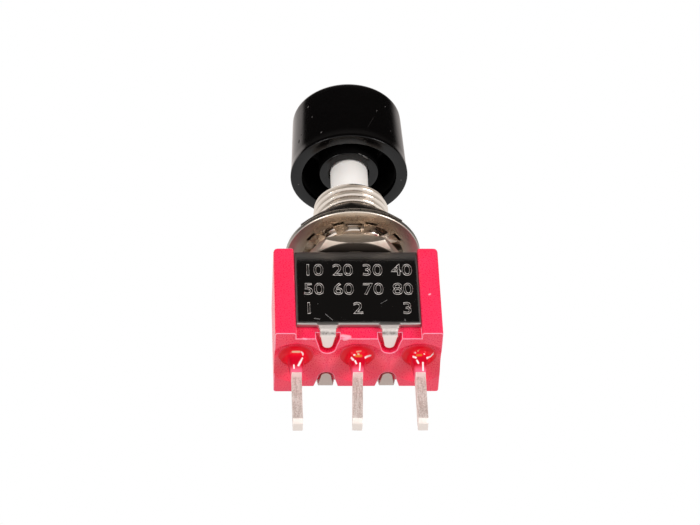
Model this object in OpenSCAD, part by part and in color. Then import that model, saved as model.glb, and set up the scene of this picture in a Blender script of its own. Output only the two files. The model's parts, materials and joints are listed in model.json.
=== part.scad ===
// Small panel-mounted pushbutton switch: one changeover contact, springs back when released.
// Z = 0 is the face of the circuit board that the case stands on, and +Z points to the button.
// X runs along the row of terminals, and the middle terminal and the bushing stand on X = Y = 0.
// Sizes are in millimetres.

/* [Case] */
// Length of the case along the row of terminals
case_l = 12.70; // [12.4:0.05:14]
// Width of the case across its end columns
case_w = 6.86; // [6.6:0.02:8]
// Height of the end columns
case_h = 8.65; // [8.5:0.05:10]
// Depth of the recess that the frame's legs lie in
recess_d = 0.63; // [0.5:0.01:0.7]
// Thickness of the floor, from the board to the contact chamber
floor_t = 2.2; // [2:0.05:2.4]
// Thickness of the front and back walls behind the frame
wall_t = 0.75; // [0.6:0.05:0.85]
// Width of the ledges along the front and back walls that carry the spring seat
ledge_w = 0.25; // [0.15:0.05:0.35]
// How far the frame's top laps over each end of the contact chamber
chamber_lap = 0.1; // [0.05:0.05:0.3]
// Radius of the columns' upright edges
case_edge_r = 0.2; // [0.1:0.05:0.4]
// Radius of the columns' top corners, seen from the front
case_top_r = 0.35; // [0.2:0.05:0.6]

/* [Sealing wells] */
// Mouth radius of the shallow cone round each terminal, which runs out through the case's ends
well_mouth_r = 2.25; // [2:0.05:2.3]
// Depth of the cone
well_mouth_h = 0.65; // [0.5:0.05:0.8]
// Radius of the pocket at the bottom of the cone
well_r = 1.25; // [1.15:0.05:1.35]
// Depth of a well from the board face
well_depth = 1.3; // [1.1:0.05:1.5]
// How far below the pocket's edge the resin meets the cone
pool_drop = 0.05; // [0.03:0.01:0.1]
// How far the resin climbs each terminal below the board face
resin_climb = 1.45; // [1:0.05:2]
// Thickness of the resin film at the end of its climb
resin_film = 0.05; // [0.03:0.01:0.08]
// How steeply the resin's surface turns up to the terminal
skirt_power = 4.5; // [3:0.5:6]

/* [Frame] */
// Width of the folded frame
frame_w = 9.44; // [9:0.02:9.6]
// Thickness of the frame's sheet
frame_t = 0.4; // [0.3:0.02:0.45]
// How far the legs' outer faces lie behind the columns' faces
frame_set_back = 0.18; // [0.15:0.01:0.2]
// Height of the frame's top above the columns
frame_rise = 0.03; // [0:0.01:0.2]
// Outer radius of the frame's folds
fold_r = 0.5; // [0.46:0.02:0.7]
// Height of the legs' lower edges above the board
leg_z = 1.1; // [1.05:0.05:1.6]
// Width of a tab at its root
tab_root_w = 1.3; // [1.15:0.05:1.5]
// Width of a tab where it folds under the case
tab_fold_w = 1.1; // [0.9:0.05:1.15]
// Width of a tab near its tip
tab_tip_w = 0.8; // [0.6:0.05:0.85]
// Reach of a tab under the case, from the leg's outer face
tab_reach = 1.75; // [1.5:0.05:1.85]
// Height of the folded tabs above the board
tab_z = 0.2; // [0.15:0.05:0.4]
// Radius of the inside corners where a tab leaves the leg
tab_fillet_r = 0.3; // [0.1:0.05:0.35]
// Depth of the notches in the case's floor that take the tabs
notch_d = 1.68; // [1.65:0.01:1.7]
// Width of a notch at its mouth
notch_w = 1.84; // [1.7:0.02:2]
// Radius of a notch's round end
notch_r = 0.62; // [0.6:0.01:0.7]

/* [Bushing] */
// Length of the bushing above the frame
bushing_l = 7.48; // [7:0.02:9]
// Outside diameter of the bushing's thread
thread_d = 5.95; // [5.9:0.01:6.1]
// Distance from one turn of the thread to the next
thread_pitch = 0.635; // [0.5:0.005:0.7]
// Diameter of the guide hole's wide part, which holds the return spring
bore_d = 3.7; // [3.68:0.02:3.8]
// Thickness of the lip at the top that stops the plunger
lip_t = 1.3; // [1:0.05:1.6]
// Diameter of the spigot that passes through the frame
spigot_d = 4.5; // [4.4:0.02:4.6]
// Diameter of the rivet rim that holds the bushing under the frame
rim_d = 5; // [4.9:0.02:5.1]
// Thickness of that rim
rim_t = 0.35; // [0.25:0.05:0.4]
// Bevel round the bushing's top
bushing_bevel = 0.25; // [0.1:0.05:0.35]

/* [Nuts and washer] */
// Distance across the flats of both nuts
nut_af = 7.94; // [7.8:0.01:8.2]
// Thickness of the lower nut
lower_nut_t = 0.95; // [0.8:0.05:1.4]
// Thickness of the upper nut
upper_nut_t = 1.4; // [1:0.05:1.8]
// Clearance of the countersinks at a nut's two faces round the thread
nut_sink_play = 0.08; // [0.05:0.01:0.15]
// Turn of the upper nut from having a flat to the front
upper_nut_turn = 26.6; // [0:0.1:60]
// Length of thread left bare between the lower nut and the washer
bare_thread = 1.1; // [0.3:0.05:1.3]
// Outside diameter of the lock washer
washer_d = 10.58; // [10.2:0.02:10.8]
// Inside diameter of the lock washer's ring, at the roots of its teeth
washer_ring_d = 7.9; // [7.6:0.05:8.2]
// Thickness of the lock washer
washer_t = 0.45; // [0.35:0.05:0.55]
// Number of teeth on the lock washer
washer_teeth = 10; // [8:1:12]
// Width of one tooth
tooth_w = 0.95; // [0.8:0.05:1.1]
// Twist of each tooth out of the washer's plane
tooth_twist = 18; // [10:1:22]

/* [Plunger] */
// Diameter of the plunger's stem
stem_d = 3; // [2.9:0.01:3.04]
// How far the button travels
travel = 1.9; // [1.4:0.05:1.9]
// Height of the stop collar
collar_h = 1; // [0.8:0.05:1.2]
// Diameter of the thin lower stem inside the return spring
low_stem_d = 2.4; // [2.2:0.05:2.5]
// Diameter of the blind hole for the drive spring
spring_hole_d = 1.6; // [1.58:0.01:1.7]
// Depth of that hole
spring_hole_l = 4.9; // [4.8:0.05:5.2]
// Diameter of the groove near the plunger's top that the cap snaps into
snap_groove_d = 2.7; // [2.6:0.05:2.8]
// Height of the groove
snap_groove_h = 0.5; // [0.4:0.05:0.6]
// Distance from the groove's lower edge to the plunger's top
snap_groove_below = 1.2; // [1:0.05:1.5]
// Bevel round the plunger's top
stem_bevel = 0.3; // [0.1:0.05:0.4]

/* [Cap] */
// Height of the cap
cap_h = 6.35; // [6:0.05:8]
// Diameter of the cap at its rim
cap_d = 9.4; // [9.2:0.05:10]
// Diameter of the cap at its top
cap_top_d = 8.76; // [8.6:0.02:9.2]
// Diameter of the open recess under the cap
cap_recess_d = 7.6; // [7.4:0.05:7.8]
// Depth of the recess
cap_recess_h = 4.7; // [4.5:0.05:5]
// Gap between the cap's rim and the bushing when the button is pressed home
press_gap = 1.44; // [1.2:0.02:2]
// Diameter of the boss that grips the plunger
boss_d = 4.75; // [4.5:0.05:5]
// How far the boss ends inside the rim
boss_inset = 0.3; // [0.2:0.05:0.5]
// Diameter of the boss's wider mouth
boss_mouth_d = 3.26; // [3.2:0.02:3.5]
// Depth of that mouth
boss_mouth_h = 0.8; // [0.6:0.05:1]
// Length of plunger that stands inside the cap
grip_l = 3.7; // [3.6:0.05:4]
// Radius round the cap's top edge
cap_edge_r = 0.4; // [0.2:0.05:0.6]
// Thickness of the thin guiding flare round the rim
rim_flare = 0.08; // [0.05:0.01:0.15]
// Height of the flare's straight band
flare_band_h = 0.25; // [0.15:0.05:0.4]
// Height at which the flare has run out into the wall
flare_h = 0.6; // [0.5:0.05:0.9]

/* [Terminals] */
// Distance between neighbouring terminals
terminal_pitch = 4.7; // [4.65:0.01:4.75]
// Thickness of the terminals' strip, along the row
terminal_t = 0.76; // [0.6:0.02:0.8]
// Width of the terminals, across the row
terminal_w = 1.19; // [1:0.01:1.3]
// Length of the terminals below the board face
terminal_l = 6.2; // [4:0.05:8]
// Bevel at the front of the terminals' tips
tip_bevel = 0.3; // [0.1:0.01:0.4]
// Bevel at the back of the terminals' tips
tip_back_bevel = 0.08; // [0.04:0.01:0.2]
// Width of the terminals inside the case
post_w = 2.2; // [2:0.05:2.4]
// Inner radius of the folds in the two fixed contacts' arms
arm_fold_r = 0.2; // [0.1:0.05:0.3]
// Floor left above an end well before its terminal steps inwards
step_floor = 0.15; // [0.1:0.01:0.2]
// Lean of the middle terminal's free end towards the common terminal, in degrees
middle_lean = 2.2; // [0:0.1:3]
// Radius of the ridge on the common terminal that the blade rocks on
ridge_r = 0.12; // [0.08:0.01:0.15]
// Width of the tongue that keeps the blade on its ridge
tongue_w = 0.8; // [0.6:0.05:1]
// Height of that tongue above the blade
tongue_h = 0.6; // [0.4:0.05:0.7]

/* [Contacts] */
// Thickness of the moving blade
blade_t = 0.2; // [0.15:0.01:0.25]
// Width of the moving blade
blade_w = 2.6; // [2.4:0.05:2.8]
// Height of the blade's lower face above the chamber floor
blade_lift = 2.75; // [2.7:0.01:2.8]
// Distance of the contacts from the bushing's axis
contact_x = 2.7; // [2.6:0.05:2.75]
// Diameter of the contact rivets
contact_d = 1.4; // [1.2:0.05:1.5]
// Height of the fixed rivets' heads
fixed_head_h = 0.25; // [0.2:0.01:0.3]
// Height of the moving rivet's heads
moving_head_h = 0.28; // [0.25:0.01:0.32]
// Diameter of the rivets' shanks
shank_d = 0.7; // [0.6:0.05:0.8]
// Opening between the moving rivet and the open contact at rest
contact_gap = 0.6; // [0.5:0.01:0.65]
// Length of blade beyond the moving rivet
blade_end_l = 0.15; // [0.1:0.05:0.2]
// Length of blade behind the ridge
blade_heel_l = 0.28; // [0.2:0.02:0.3]
// Distance from the ridge to the blade's window
window_x = 0.88; // [0.8:0.02:1.2]
// Gap between the drive pin and the end of that window
window_gap = 0.3; // [0.2:0.05:0.4]
// Play round the tongue, and beside the snap spring
blade_play = 0.1; // [0.05:0.01:0.12]
// Height of the snap spring's foot above the chamber floor
snap_foot_h = 1.6; // [1.4:0.05:1.8]
// Size of the notch that the foot stands in
snap_notch = 0.25; // [0.2:0.01:0.3]
// Bow of the snap spring off its straight line
snap_bow = 0.75; // [0.6:0.05:0.85]
// Thickness of the snap spring's strip
snap_t = 0.12; // [0.08:0.01:0.15]
// Width of the snap spring's strip
snap_w = 1; // [0.8:0.05:1.1]

/* [Springs and seat] */
// Thickness of the spring seat's plate
seat_t = 0.6; // [0.5:0.05:0.65]
// Gap between the seat's plate and the arm of the closed terminal under it
seat_gap = 0.14; // [0.1:0.01:0.2]
// Gap between the rivet rim and the seat's end posts
rim_gap = 0.2; // [0.1:0.05:0.4]
// Diameter of the hole in the seat that the lower stem passes through
seat_hole_d = 2.6; // [2.55:0.01:2.65]
// Wire diameter of the return spring
return_wire_d = 0.28; // [0.2:0.01:0.3]
// Turns of the return spring
return_turns = 9; // [6:1:10]
// Wire diameter of the drive spring
drive_wire_d = 0.18; // [0.12:0.01:0.2]
// Turns of the drive spring
drive_turns = 7; // [5:1:8]
// Diameter of the drive pin
drive_pin_d = 1.44; // [1.4:0.01:1.5]
// Length of the drive pin's thick part
drive_pin_l = 4; // [3.9:0.05:4.2]
// Length of the drive pin's thin tail inside its spring
drive_tail_l = 1.1; // [0.8:0.05:1.3]
// How far the drive pin's thick part reaches into the lower stem while the button is up
pin_guide = 0.96; // [0.8:0.02:1.1]

/* [Fits] */
// Play between the frame and the case
frame_play = 0.05; // [0.03:0.01:0.08]
// Radial play of a part that slides in its guide
slide_play = 0.04; // [0.02:0.01:0.06]
// Play round parts that are pressed or moulded in
seat_play = 0.02; // [0.01:0.01:0.04]
// Gap between touching contacts, blade and drive pin
touch_gap = 0.03; // [0.02:0.01:0.05]
// Play between a washer tooth and the thread, and between the washer and the nut
washer_play = 0.08; // [0.05:0.01:0.1]

/* [Hidden] */
$fn = 96;
over = 0.5; // how far a cutting shape runs past what it cuts
lap = 0.1; // how far shapes that join into one solid run into each other

// The frame round the case
recess_y = case_w/2 - recess_d;
recess_w = frame_w + 2*frame_play;
leg_out = case_w/2 - frame_set_back;
leg_in = leg_out - frame_t;
frame_top_z = case_h + frame_rise;
frame_under_z = frame_top_z - frame_t;
mid_top_z = frame_under_z - frame_play;
tab_x = terminal_pitch/2;
notch_roof_z = tab_z + frame_t + frame_play;
// The chamber and its ledges
chamber_y = recess_y - wall_t;
chamber_x = frame_w/2 - chamber_lap;
post_x = chamber_x - seat_play - terminal_t/2;
// The bushing and what is screwed on it
thread_r = thread_d/2;
neck_r = thread_r - 0.325*thread_pitch; // the pitch radius, where nut and thread meet
thread_crest = thread_pitch/8; // flats of a 60-degree thread, and its depth
thread_root = thread_pitch/4;
thread_depth = (thread_pitch - thread_crest - thread_root)/2/tan(30);
bushing_top_z = frame_top_z + bushing_l;
bore_r = bore_d/2;
lower_nut_z = frame_top_z + seat_play;
washer_z = lower_nut_z + lower_nut_t + bare_thread;
tooth_rise = (tooth_w*sin(tooth_twist) + washer_t*cos(tooth_twist) - washer_t)/2;
upper_nut_z = washer_z + washer_t + tooth_rise + washer_play;
// The plunger and the cap on it
stem_r = stem_d/2;
collar_top_z = bushing_top_z - lip_t - slide_play;
collar_z = collar_top_z - collar_h;
collar_r = bore_r - slide_play;
cap_z = bushing_top_z + travel + press_gap;
cap_top_z = cap_z + cap_h;
stem_top_z = cap_z + grip_l;
snap_z = stem_top_z - snap_groove_below;
// The moving blade and its contacts
blade_z = floor_t + blade_lift;
blade_top_z = blade_z + blade_t;
pivot_x = -post_x;
pivot_z = blade_z - touch_gap - ridge_r;
window_end_x = -drive_pin_d/2 - window_gap; // where the snap spring presses on the blade
closed_face_z = blade_top_z + moving_head_h + touch_gap;
closed_arm_z = closed_face_z + fixed_head_h;
open_face_z = blade_z - moving_head_h - contact_gap - touch_gap;
open_arm_top_z = open_face_z - fixed_head_h;
arm_end_x = contact_x + contact_d/2;
snap_foot_z = floor_t + snap_foot_h;
// The seat above the contacts, up to the frame
seat_z = closed_arm_z + terminal_t + seat_gap;
seat_top_z = seat_z + seat_t;
seat_h = frame_under_z - seat_play - seat_z;
// The drive pin and the lower stem round it
pin_z = blade_top_z + touch_gap;
pin_shoulder_z = pin_z + drive_pin_l;
low_stem_z = pin_shoulder_z - pin_guide;
spring_hole_top_z = low_stem_z + spring_hole_l;

// A rectangle with round corners.
module round_rect(size, r) {
    square([size.x - 2*r, size.y], center = true);
    square([size.x, size.y - 2*r], center = true);
    for (sx = [-1, 1], sy = [-1, 1])
        translate([sx*(size.x/2 - r), sy*(size.y/2 - r)]) circle(r);
}

// A quarter of a flat ring, between the +x and +y directions.
module quarter_ring(r_out, r_in) {
    intersection() {
        difference() {
            circle(r_out);
            circle(r_in);
        }
        square(r_out);
    }
}

// Stands an outline that is drawn in (y, z) upright and gives it a length along X.
module along_x(length) {
    rotate([90, 0, 90]) linear_extrude(length, center = true) children();
}

// Stands an outline that is drawn in (x, z) upright and gives it a depth along Y.
module along_y(depth) {
    rotate([90, 0, 0]) linear_extrude(depth, center = true) children();
}

// A round wire wound into a compression spring with a closed turn at each end.
module coil_spring(wire_d, mean_r, length, turns) {
    sides = 8;
    steps = 18*turns;
    closed = 1/turns;
    rise = length - wire_d;
    wire_r = 0.49*wire_d; // a little under half, so that closed turns don't touch
    function height(t) = t < closed ? wire_d/2 + wire_d*t/closed
        : t > 1 - closed ? length - wire_d/2 - wire_d*(1 - t)/closed
        : wire_d*1.5 + (rise - 2*wire_d)*(t - closed)/(1 - 2*closed);
    points = [for (i = [0:steps], j = [0:sides - 1])
        let (a = 360*turns*i/steps, b = 360*j/sides, r = mean_r + wire_r*cos(b))
        [r*cos(a), r*sin(a), height(i/steps) + wire_r*sin(b)]];
    faces = concat(
        [[for (j = [0:sides - 1]) j]],
        [for (i = [0:steps - 1], j = [0:sides - 1])
            let (k = (j + 1) % sides, p = i*sides, q = p + sides) [p + j, q + j, q + k, p + k]],
        [[for (j = [sides - 1:-1:0]) steps*sides + j]]);
    polyhedron(points, faces);
}

// A solid that passes through a stack of rings. Each ring is [z, half length, half width, squareness],
// where 2 is an ellipse and a larger number is closer to a rectangle.
module ring_stack(rings) {
    sides = 32;
    function power(v, n) = sign(v)*pow(abs(v), 2/n);
    points = [for (ring = rings, j = [0:sides - 1])
        let (a = 360*j/sides)
        [ring[1]*power(cos(a), ring[3]), ring[2]*power(sin(a), ring[3]), ring[0]]];
    last = (len(rings) - 1)*sides;
    faces = concat(
        [[for (j = [0:sides - 1]) j]],
        [for (i = [0:len(rings) - 2], j = [0:sides - 1])
            let (k = (j + 1) % sides, p = i*sides, q = p + sides) [p + j, q + j, q + k, p + k]],
        [[for (j = [sides - 1:-1:0]) last + j]]);
    polyhedron(points, faces);
}

// The black moulded cap: tapered wall, open underneath, with a boss that snaps on the plunger.
module cap() {
    color("#1c1b1b") difference() {
        rotate_extrude() {
            difference() {
                polygon([[0, cap_z], [cap_d/2, cap_z], [cap_d/2, cap_z + flare_band_h],
                         [cap_d/2 - rim_flare, cap_z + flare_h], [cap_top_d/2, cap_top_z - cap_edge_r],
                         [cap_top_d/2 - cap_edge_r, cap_top_z], [0, cap_top_z]]);
                translate([boss_d/2, cap_z - over])
                    square([(cap_recess_d - boss_d)/2, cap_recess_h + over]);
                translate([0, cap_z - over]) square([boss_d/2 + over, boss_inset + over]);
            }
            translate([cap_top_d/2 - cap_edge_r, cap_top_z - cap_edge_r]) circle(cap_edge_r);
        }
        translate([0, 0, cap_z]) cylinder(r = stem_r + seat_play, h = grip_l + seat_play);
        translate([0, 0, cap_z]) cylinder(d = boss_mouth_d, h = boss_inset + boss_mouth_h);
    }
    color("#1c1b1b") translate([0, 0, snap_z + seat_play]) difference() {
        cylinder(r = stem_r + 2*seat_play, h = snap_groove_h - 2*seat_play);
        translate([0, 0, -over])
            cylinder(d = snap_groove_d + 2*seat_play, h = snap_groove_h + 2*over);
    }
}

// The white moulded plunger: stem, stop collar and a thin hollow lower stem.
module plunger() {
    color("#f1ebe8") difference() {
        union() {
            translate([0, 0, low_stem_z]) cylinder(d = low_stem_d, h = collar_z - low_stem_z + lap);
            translate([0, 0, collar_z]) cylinder(r = collar_r, h = collar_h);
            translate([0, 0, collar_z]) cylinder(r = stem_r, h = stem_top_z - collar_z - stem_bevel);
            translate([0, 0, stem_top_z - stem_bevel])
                cylinder(r1 = stem_r, r2 = stem_r - stem_bevel, h = stem_bevel);
        }
        translate([0, 0, low_stem_z - over]) cylinder(d = spring_hole_d, h = spring_hole_l + over);
        translate([0, 0, snap_z]) difference() {
            cylinder(r = stem_r + over, h = snap_groove_h);
            cylinder(d = snap_groove_d, h = snap_groove_h);
        }
    }
}

// The light spring inside the plunger that presses the drive pin on the blade.
module drive_spring() {
    color("silver") translate([0, 0, pin_shoulder_z + seat_play])
        coil_spring(drive_wire_d, spring_hole_d/2 - drive_wire_d/2 - 2*slide_play,
                    spring_hole_top_z - pin_shoulder_z - 2*seat_play, drive_turns);
}

// The insulating pin that carries the button's push to the blade.
module drive_pin() {
    nose_r = drive_pin_d/2;
    color("#e9dfc8") {
        translate([0, 0, pin_z + nose_r]) cylinder(r = nose_r, h = drive_pin_l - nose_r);
        translate([0, 0, pin_z + nose_r]) sphere(nose_r);
        translate([0, 0, pin_shoulder_z]) cylinder(d = drive_pin_d/2, h = drive_tail_l);
    }
}

// The spring that lifts the button, round the plunger's lower stem.
module return_spring() {
    color("silver") translate([0, 0, seat_top_z + seat_play])
        coil_spring(return_wire_d, bore_r - return_wire_d/2 - 3*slide_play,
                    collar_z - seat_top_z - 2*seat_play, return_turns);
}

// The turned bushing. Its thread is drawn as rings, with a plain neck inside each nut.
module bushing() {
    color("#b9b0a6") difference() {
        union() {
            translate([0, 0, frame_top_z])
                cylinder(r = thread_r, h = bushing_l - bushing_bevel);
            translate([0, 0, bushing_top_z - bushing_bevel])
                cylinder(r1 = thread_r, r2 = thread_r - bushing_bevel, h = bushing_bevel);
            translate([0, 0, frame_under_z - rim_t]) cylinder(d = spigot_d, h = frame_t + rim_t);
            translate([0, 0, frame_under_z - rim_t])
                cylinder(d1 = rim_d - 2*seat_play, d2 = rim_d, h = rim_t - seat_play);
        }
        translate([0, 0, frame_under_z - rim_t - over])
            cylinder(r = bore_r, h = bushing_top_z - lip_t - frame_under_z + rim_t + over);
        cylinder(r = stem_r + slide_play, h = bushing_top_z + over);
        nut_neck(lower_nut_z, lower_nut_t);
        nut_neck(upper_nut_z, upper_nut_t);
        lower_thread();
        upper_thread();
    }
}

// Grooves of the thread as plain rings, one to each pitch from first_z up, with a root of this width.
module thread_grooves(first_z, count, root_w) {
    root_r = thread_r - thread_depth;
    mouth_w = root_w + 2*thread_depth*tan(30);
    for (i = [0:count - 1]) translate([0, 0, first_z + i*thread_pitch])
        rotate_extrude() polygon([[root_r, -root_w/2], [thread_r, -mouth_w/2],
            [thread_r + over, -mouth_w/2], [thread_r + over, mouth_w/2],
            [thread_r, mouth_w/2], [root_r, root_w/2]]);
}

// The thread above the upper nut, which a panel is clamped on, with a plain land at both ends.
module upper_thread() {
    from_z = upper_nut_z + upper_nut_t + seat_play;
    to_z = bushing_top_z - bushing_bevel;
    count = floor((to_z - from_z)/thread_pitch);
    thread_grooves((from_z + to_z - (count - 1)*thread_pitch)/2, count, thread_root);
}

// The thread between the nuts. Its ridges are sharp, so the panel's wall is the upper thread alone.
module lower_thread() {
    from_z = lower_nut_z + lower_nut_t + seat_play;
    to_z = upper_nut_z - seat_play;
    count = ceil((to_z - from_z)/thread_pitch) + 1;
    intersection() {
        thread_grooves((from_z + to_z - (count - 1)*thread_pitch)/2, count,
                       thread_root + thread_crest + seat_play);
        translate([0, 0, from_z - seat_play])
            cylinder(r = thread_r + 2*over, h = to_z - from_z + 2*seat_play);
    }
}

// The groove round the thread that a nut's plain bore fits into.
module nut_neck(z, height) {
    translate([0, 0, z - seat_play]) difference() {
        cylinder(r = thread_r + over, h = height + 2*seat_play);
        translate([0, 0, -over]) cylinder(r = neck_r, h = height + 2*seat_play + 2*over);
    }
}

// A thin hexagonal nut: bevelled corners and a countersunk thread, on both sides.
module hex_nut(height) {
    corner_r = nut_af/2/cos(30);
    bevel_h = (corner_r + lap - nut_af/2)*tan(30);
    bore_r = neck_r + seat_play;
    sink_r = thread_r + nut_sink_play;
    difference() {
        intersection() {
            cylinder(r = corner_r, h = height, $fn = 6);
            rotate_extrude() polygon([[0, 0], [nut_af/2, 0], [corner_r + lap, bevel_h],
                [corner_r + lap, height - bevel_h], [nut_af/2, height], [0, height]]);
        }
        translate([0, 0, -over]) cylinder(r = bore_r, h = height + 2*over);
        for (side = [0, 1]) translate([0, 0, height/2]) mirror([0, 0, side])
            translate([0, 0, height/2 - sink_r + bore_r])
                cylinder(r1 = bore_r, r2 = sink_r + over, h = sink_r + over - bore_r);
    }
}

module lower_nut() {
    color("#a89f95") translate([0, 0, lower_nut_z]) hex_nut(lower_nut_t);
}

module upper_nut() {
    color("#a89f95") translate([0, 0, upper_nut_z]) rotate(upper_nut_turn) hex_nut(upper_nut_t);
}

// The lock washer: a flat ring with twisted teeth that reach in to the thread.
module lock_washer() {
    tooth_tip_r = thread_r + washer_play;
    tooth_l = washer_ring_d/2 - tooth_tip_r + 3*lap;
    color("#9c9388") translate([0, 0, washer_z]) difference() {
        union() {
            difference() {
                cylinder(d = washer_d, h = washer_t);
                translate([0, 0, -over]) cylinder(d = washer_ring_d, h = washer_t + 2*over);
            }
            for (i = [0:washer_teeth - 1])
                rotate(360*i/washer_teeth) translate([tooth_tip_r - lap, 0, washer_t/2])
                    rotate([tooth_twist, 0, 0]) translate([0, -tooth_w/2, -washer_t/2])
                        cube([tooth_l + lap, tooth_w, washer_t]);
        }
        translate([0, 0, -over]) cylinder(r = tooth_tip_r, h = washer_t + 2*over);
    }
}

// The folded frame: a top plate, a leg at the front and back, and two tabs under each leg.
module mounting_frame() {
    color("#8d8a88") difference() {
        union() {
            along_x(frame_w) for (side = [0, 1]) mirror([side, 0]) leg_profile();
            for (side = [0, 1], x = [-tab_x, tab_x])
                mirror([0, side, 0]) translate([x, 0, 0]) frame_tab();
        }
        translate([0, 0, frame_under_z - over])
            cylinder(r = spigot_d/2 + seat_play, h = frame_t + 2*over);
    }
}

// Half of the frame's folded section, in (y, z).
module leg_profile() {
    translate([leg_in, leg_z]) square([frame_t, frame_top_z - fold_r - leg_z]);
    translate([leg_out - fold_r, frame_top_z - fold_r]) quarter_ring(fold_r, fold_r - frame_t);
    translate([-lap, frame_under_z]) square([leg_out - fold_r + lap, frame_t]);
}

// One tab on the +Y leg: it narrows downwards, folds under the case and ends in a round tip.
module frame_tab() {
    tip_y = leg_out - tab_reach;
    intersection() {
        along_x(tab_root_w + 2*tab_fillet_r) {
            translate([leg_in, tab_z + fold_r]) square([frame_t, leg_z - tab_z - fold_r + lap]);
            translate([leg_out - fold_r, tab_z + fold_r]) mirror([0, 1])
                quarter_ring(fold_r, fold_r - frame_t);
            translate([tip_y, tab_z]) square([leg_out - fold_r - tip_y, frame_t]);
        }
        union() {
            translate([0, leg_out - fold_r, 0]) along_y_from(fold_r + over) tab_front();
            linear_extrude(notch_roof_z + fold_r) tab_plan(tip_y);
        }
    }
}

// Gives an outline that is drawn in (x, z) a depth towards +Y, from where it stands.
module along_y_from(depth) {
    translate([0, depth, 0]) rotate([90, 0, 0]) linear_extrude(depth) children();
}

// A tab seen from the front, with its root fillets, in (x, z).
module tab_front() {
    polygon([[-tab_fold_w/2, 0], [tab_fold_w/2, 0], [tab_root_w/2, leg_z],
             [tab_root_w/2, leg_z + lap], [-tab_root_w/2, leg_z + lap], [-tab_root_w/2, leg_z]]);
    for (side = [0, 1]) mirror([side, 0]) difference() {
        translate([tab_root_w/2 - lap/2, leg_z - tab_fillet_r])
            square([tab_fillet_r + lap/2, tab_fillet_r + lap]);
        translate([tab_root_w/2 + tab_fillet_r, leg_z - tab_fillet_r]) circle(tab_fillet_r);
    }
}

// The folded part of a tab seen from below, in (x, y).
module tab_plan(tip_y) {
    tip_r = tab_tip_w/2;
    half_w = tab_fold_w/2;
    polygon([[-half_w, leg_out], [half_w, leg_out], [half_w, leg_out - fold_r],
             [tip_r, tip_y + tip_r], [-tip_r, tip_y + tip_r], [-half_w, leg_out - fold_r]]);
    translate([0, tip_y + tip_r]) circle(tip_r);
}

// The insulating plate that closes the contact chamber and carries the return spring.
module spring_seat() {
    seat_l = 2*(chamber_x - seat_play);
    seat_w = 2*(chamber_y - seat_play);
    post_l = (seat_l - rim_d)/2 - rim_gap;
    color("#3a3230") difference() {
        union() {
            translate([0, 0, seat_z + seat_t/2]) cube([seat_l, seat_w, seat_t], center = true);
            for (side = [-1, 1])
                translate([side*(seat_l - post_l)/2, 0, seat_z + seat_h/2])
                    cube([post_l, seat_w, seat_h], center = true);
        }
        translate([0, 0, seat_z - over]) cylinder(d = seat_hole_d, h = seat_t + 2*over);
    }
}

// The red moulded case: end columns, a recessed middle, the contact chamber and the wells.
module case() {
    color("#e8305c") difference() {
        intersection() {
            linear_extrude(case_h) case_plan();
            along_y(case_w + 2*over) translate([0, case_h/2 - over])
                round_rect([case_l, case_h + 2*over], case_top_r);
        }
        translate([0, 0, mid_top_z + over])
            cube([recess_w, case_w + 2*over, 2*over], center = true);
        middle_bevels();
        translate([-chamber_x, ledge_w - chamber_y, floor_t])
            cube([2*chamber_x, 2*(chamber_y - ledge_w), case_h]);
        translate([-chamber_x, -chamber_y, seat_z - seat_play])
            cube([2*chamber_x, 2*chamber_y, case_h]);
        translate([0, 0, frame_under_z - rim_t - 2*frame_play])
            cylinder(d = rim_d + 2*frame_play, h = case_h);
        for (i = [-1:1]) translate([i*terminal_pitch, 0, 0]) sealing_well(i);
        for (side = [0, 1], x = [-tab_x, tab_x])
            mirror([0, side, 0]) translate([x, 0, -over])
                linear_extrude(notch_roof_z + over) tab_notch();
    }
}

// The case seen from above: two columns and the middle set back behind them.
module case_plan() {
    column_l = (case_l - recess_w)/2;
    for (side = [-1, 1])
        translate([side*(case_l - column_l)/2, 0]) round_rect([column_l, case_w], case_edge_r);
    square([case_l - column_l, 2*recess_y], center = true);
}

// Bevels along the middle's top edges, which clear the inside of the frame's folds.
module middle_bevels() {
    bevel = fold_r - frame_t + 2*frame_play;
    for (side = [0, 1]) mirror([0, side, 0]) along_x(recess_w)
        polygon([[recess_y - bevel - over, mid_top_z + over], [recess_y + over, mid_top_z - bevel - over],
                 [recess_y + over, mid_top_z + over]]);
}

// The cone, the pocket and the slot for one terminal. i is -1, 0 or 1 along the row.
module sealing_well(i) {
    translate([0, 0, -over]) cylinder(r = well_mouth_r, h = over);
    cylinder(r1 = well_mouth_r, r2 = well_r, h = well_mouth_h);
    cylinder(r = well_r, h = well_depth);
    along_y(terminal_w + 2*seat_play) floor_pin(i, seat_play, floor_t + over);
}

// The notch in the case's back edge that a tab folds into, in (x, y).
module tab_notch() {
    end_y = recess_y - notch_d + notch_r;
    polygon([[-notch_w/2, recess_y + over], [notch_w/2, recess_y + over], [notch_w/2, recess_y],
             [notch_r, end_y], [-notch_r, end_y], [-notch_w/2, recess_y]]);
    translate([0, end_y]) circle(notch_r);
}

// A terminal's way through the case's floor, in (x, z) from its own axis. The two end terminals
// step inwards above their wells, so that their posts stand inside the chamber. i is -1, 0 or 1.
module floor_pin(i, play, top) {
    half_t = terminal_t/2 + play;
    step = abs(i)*(terminal_pitch - post_x);
    step_z = well_depth + step_floor - play;
    mirror([i < 0 ? 1 : 0, 0]) {
        translate([-half_t, 0]) square([2*half_t, (step_z + floor_t)/2]);
        translate([-half_t - step, step_z]) square([2*half_t + step, floor_t + play - step_z]);
        translate([-half_t - step, step_z]) square([2*half_t, top - step_z]);
    }
}

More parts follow.
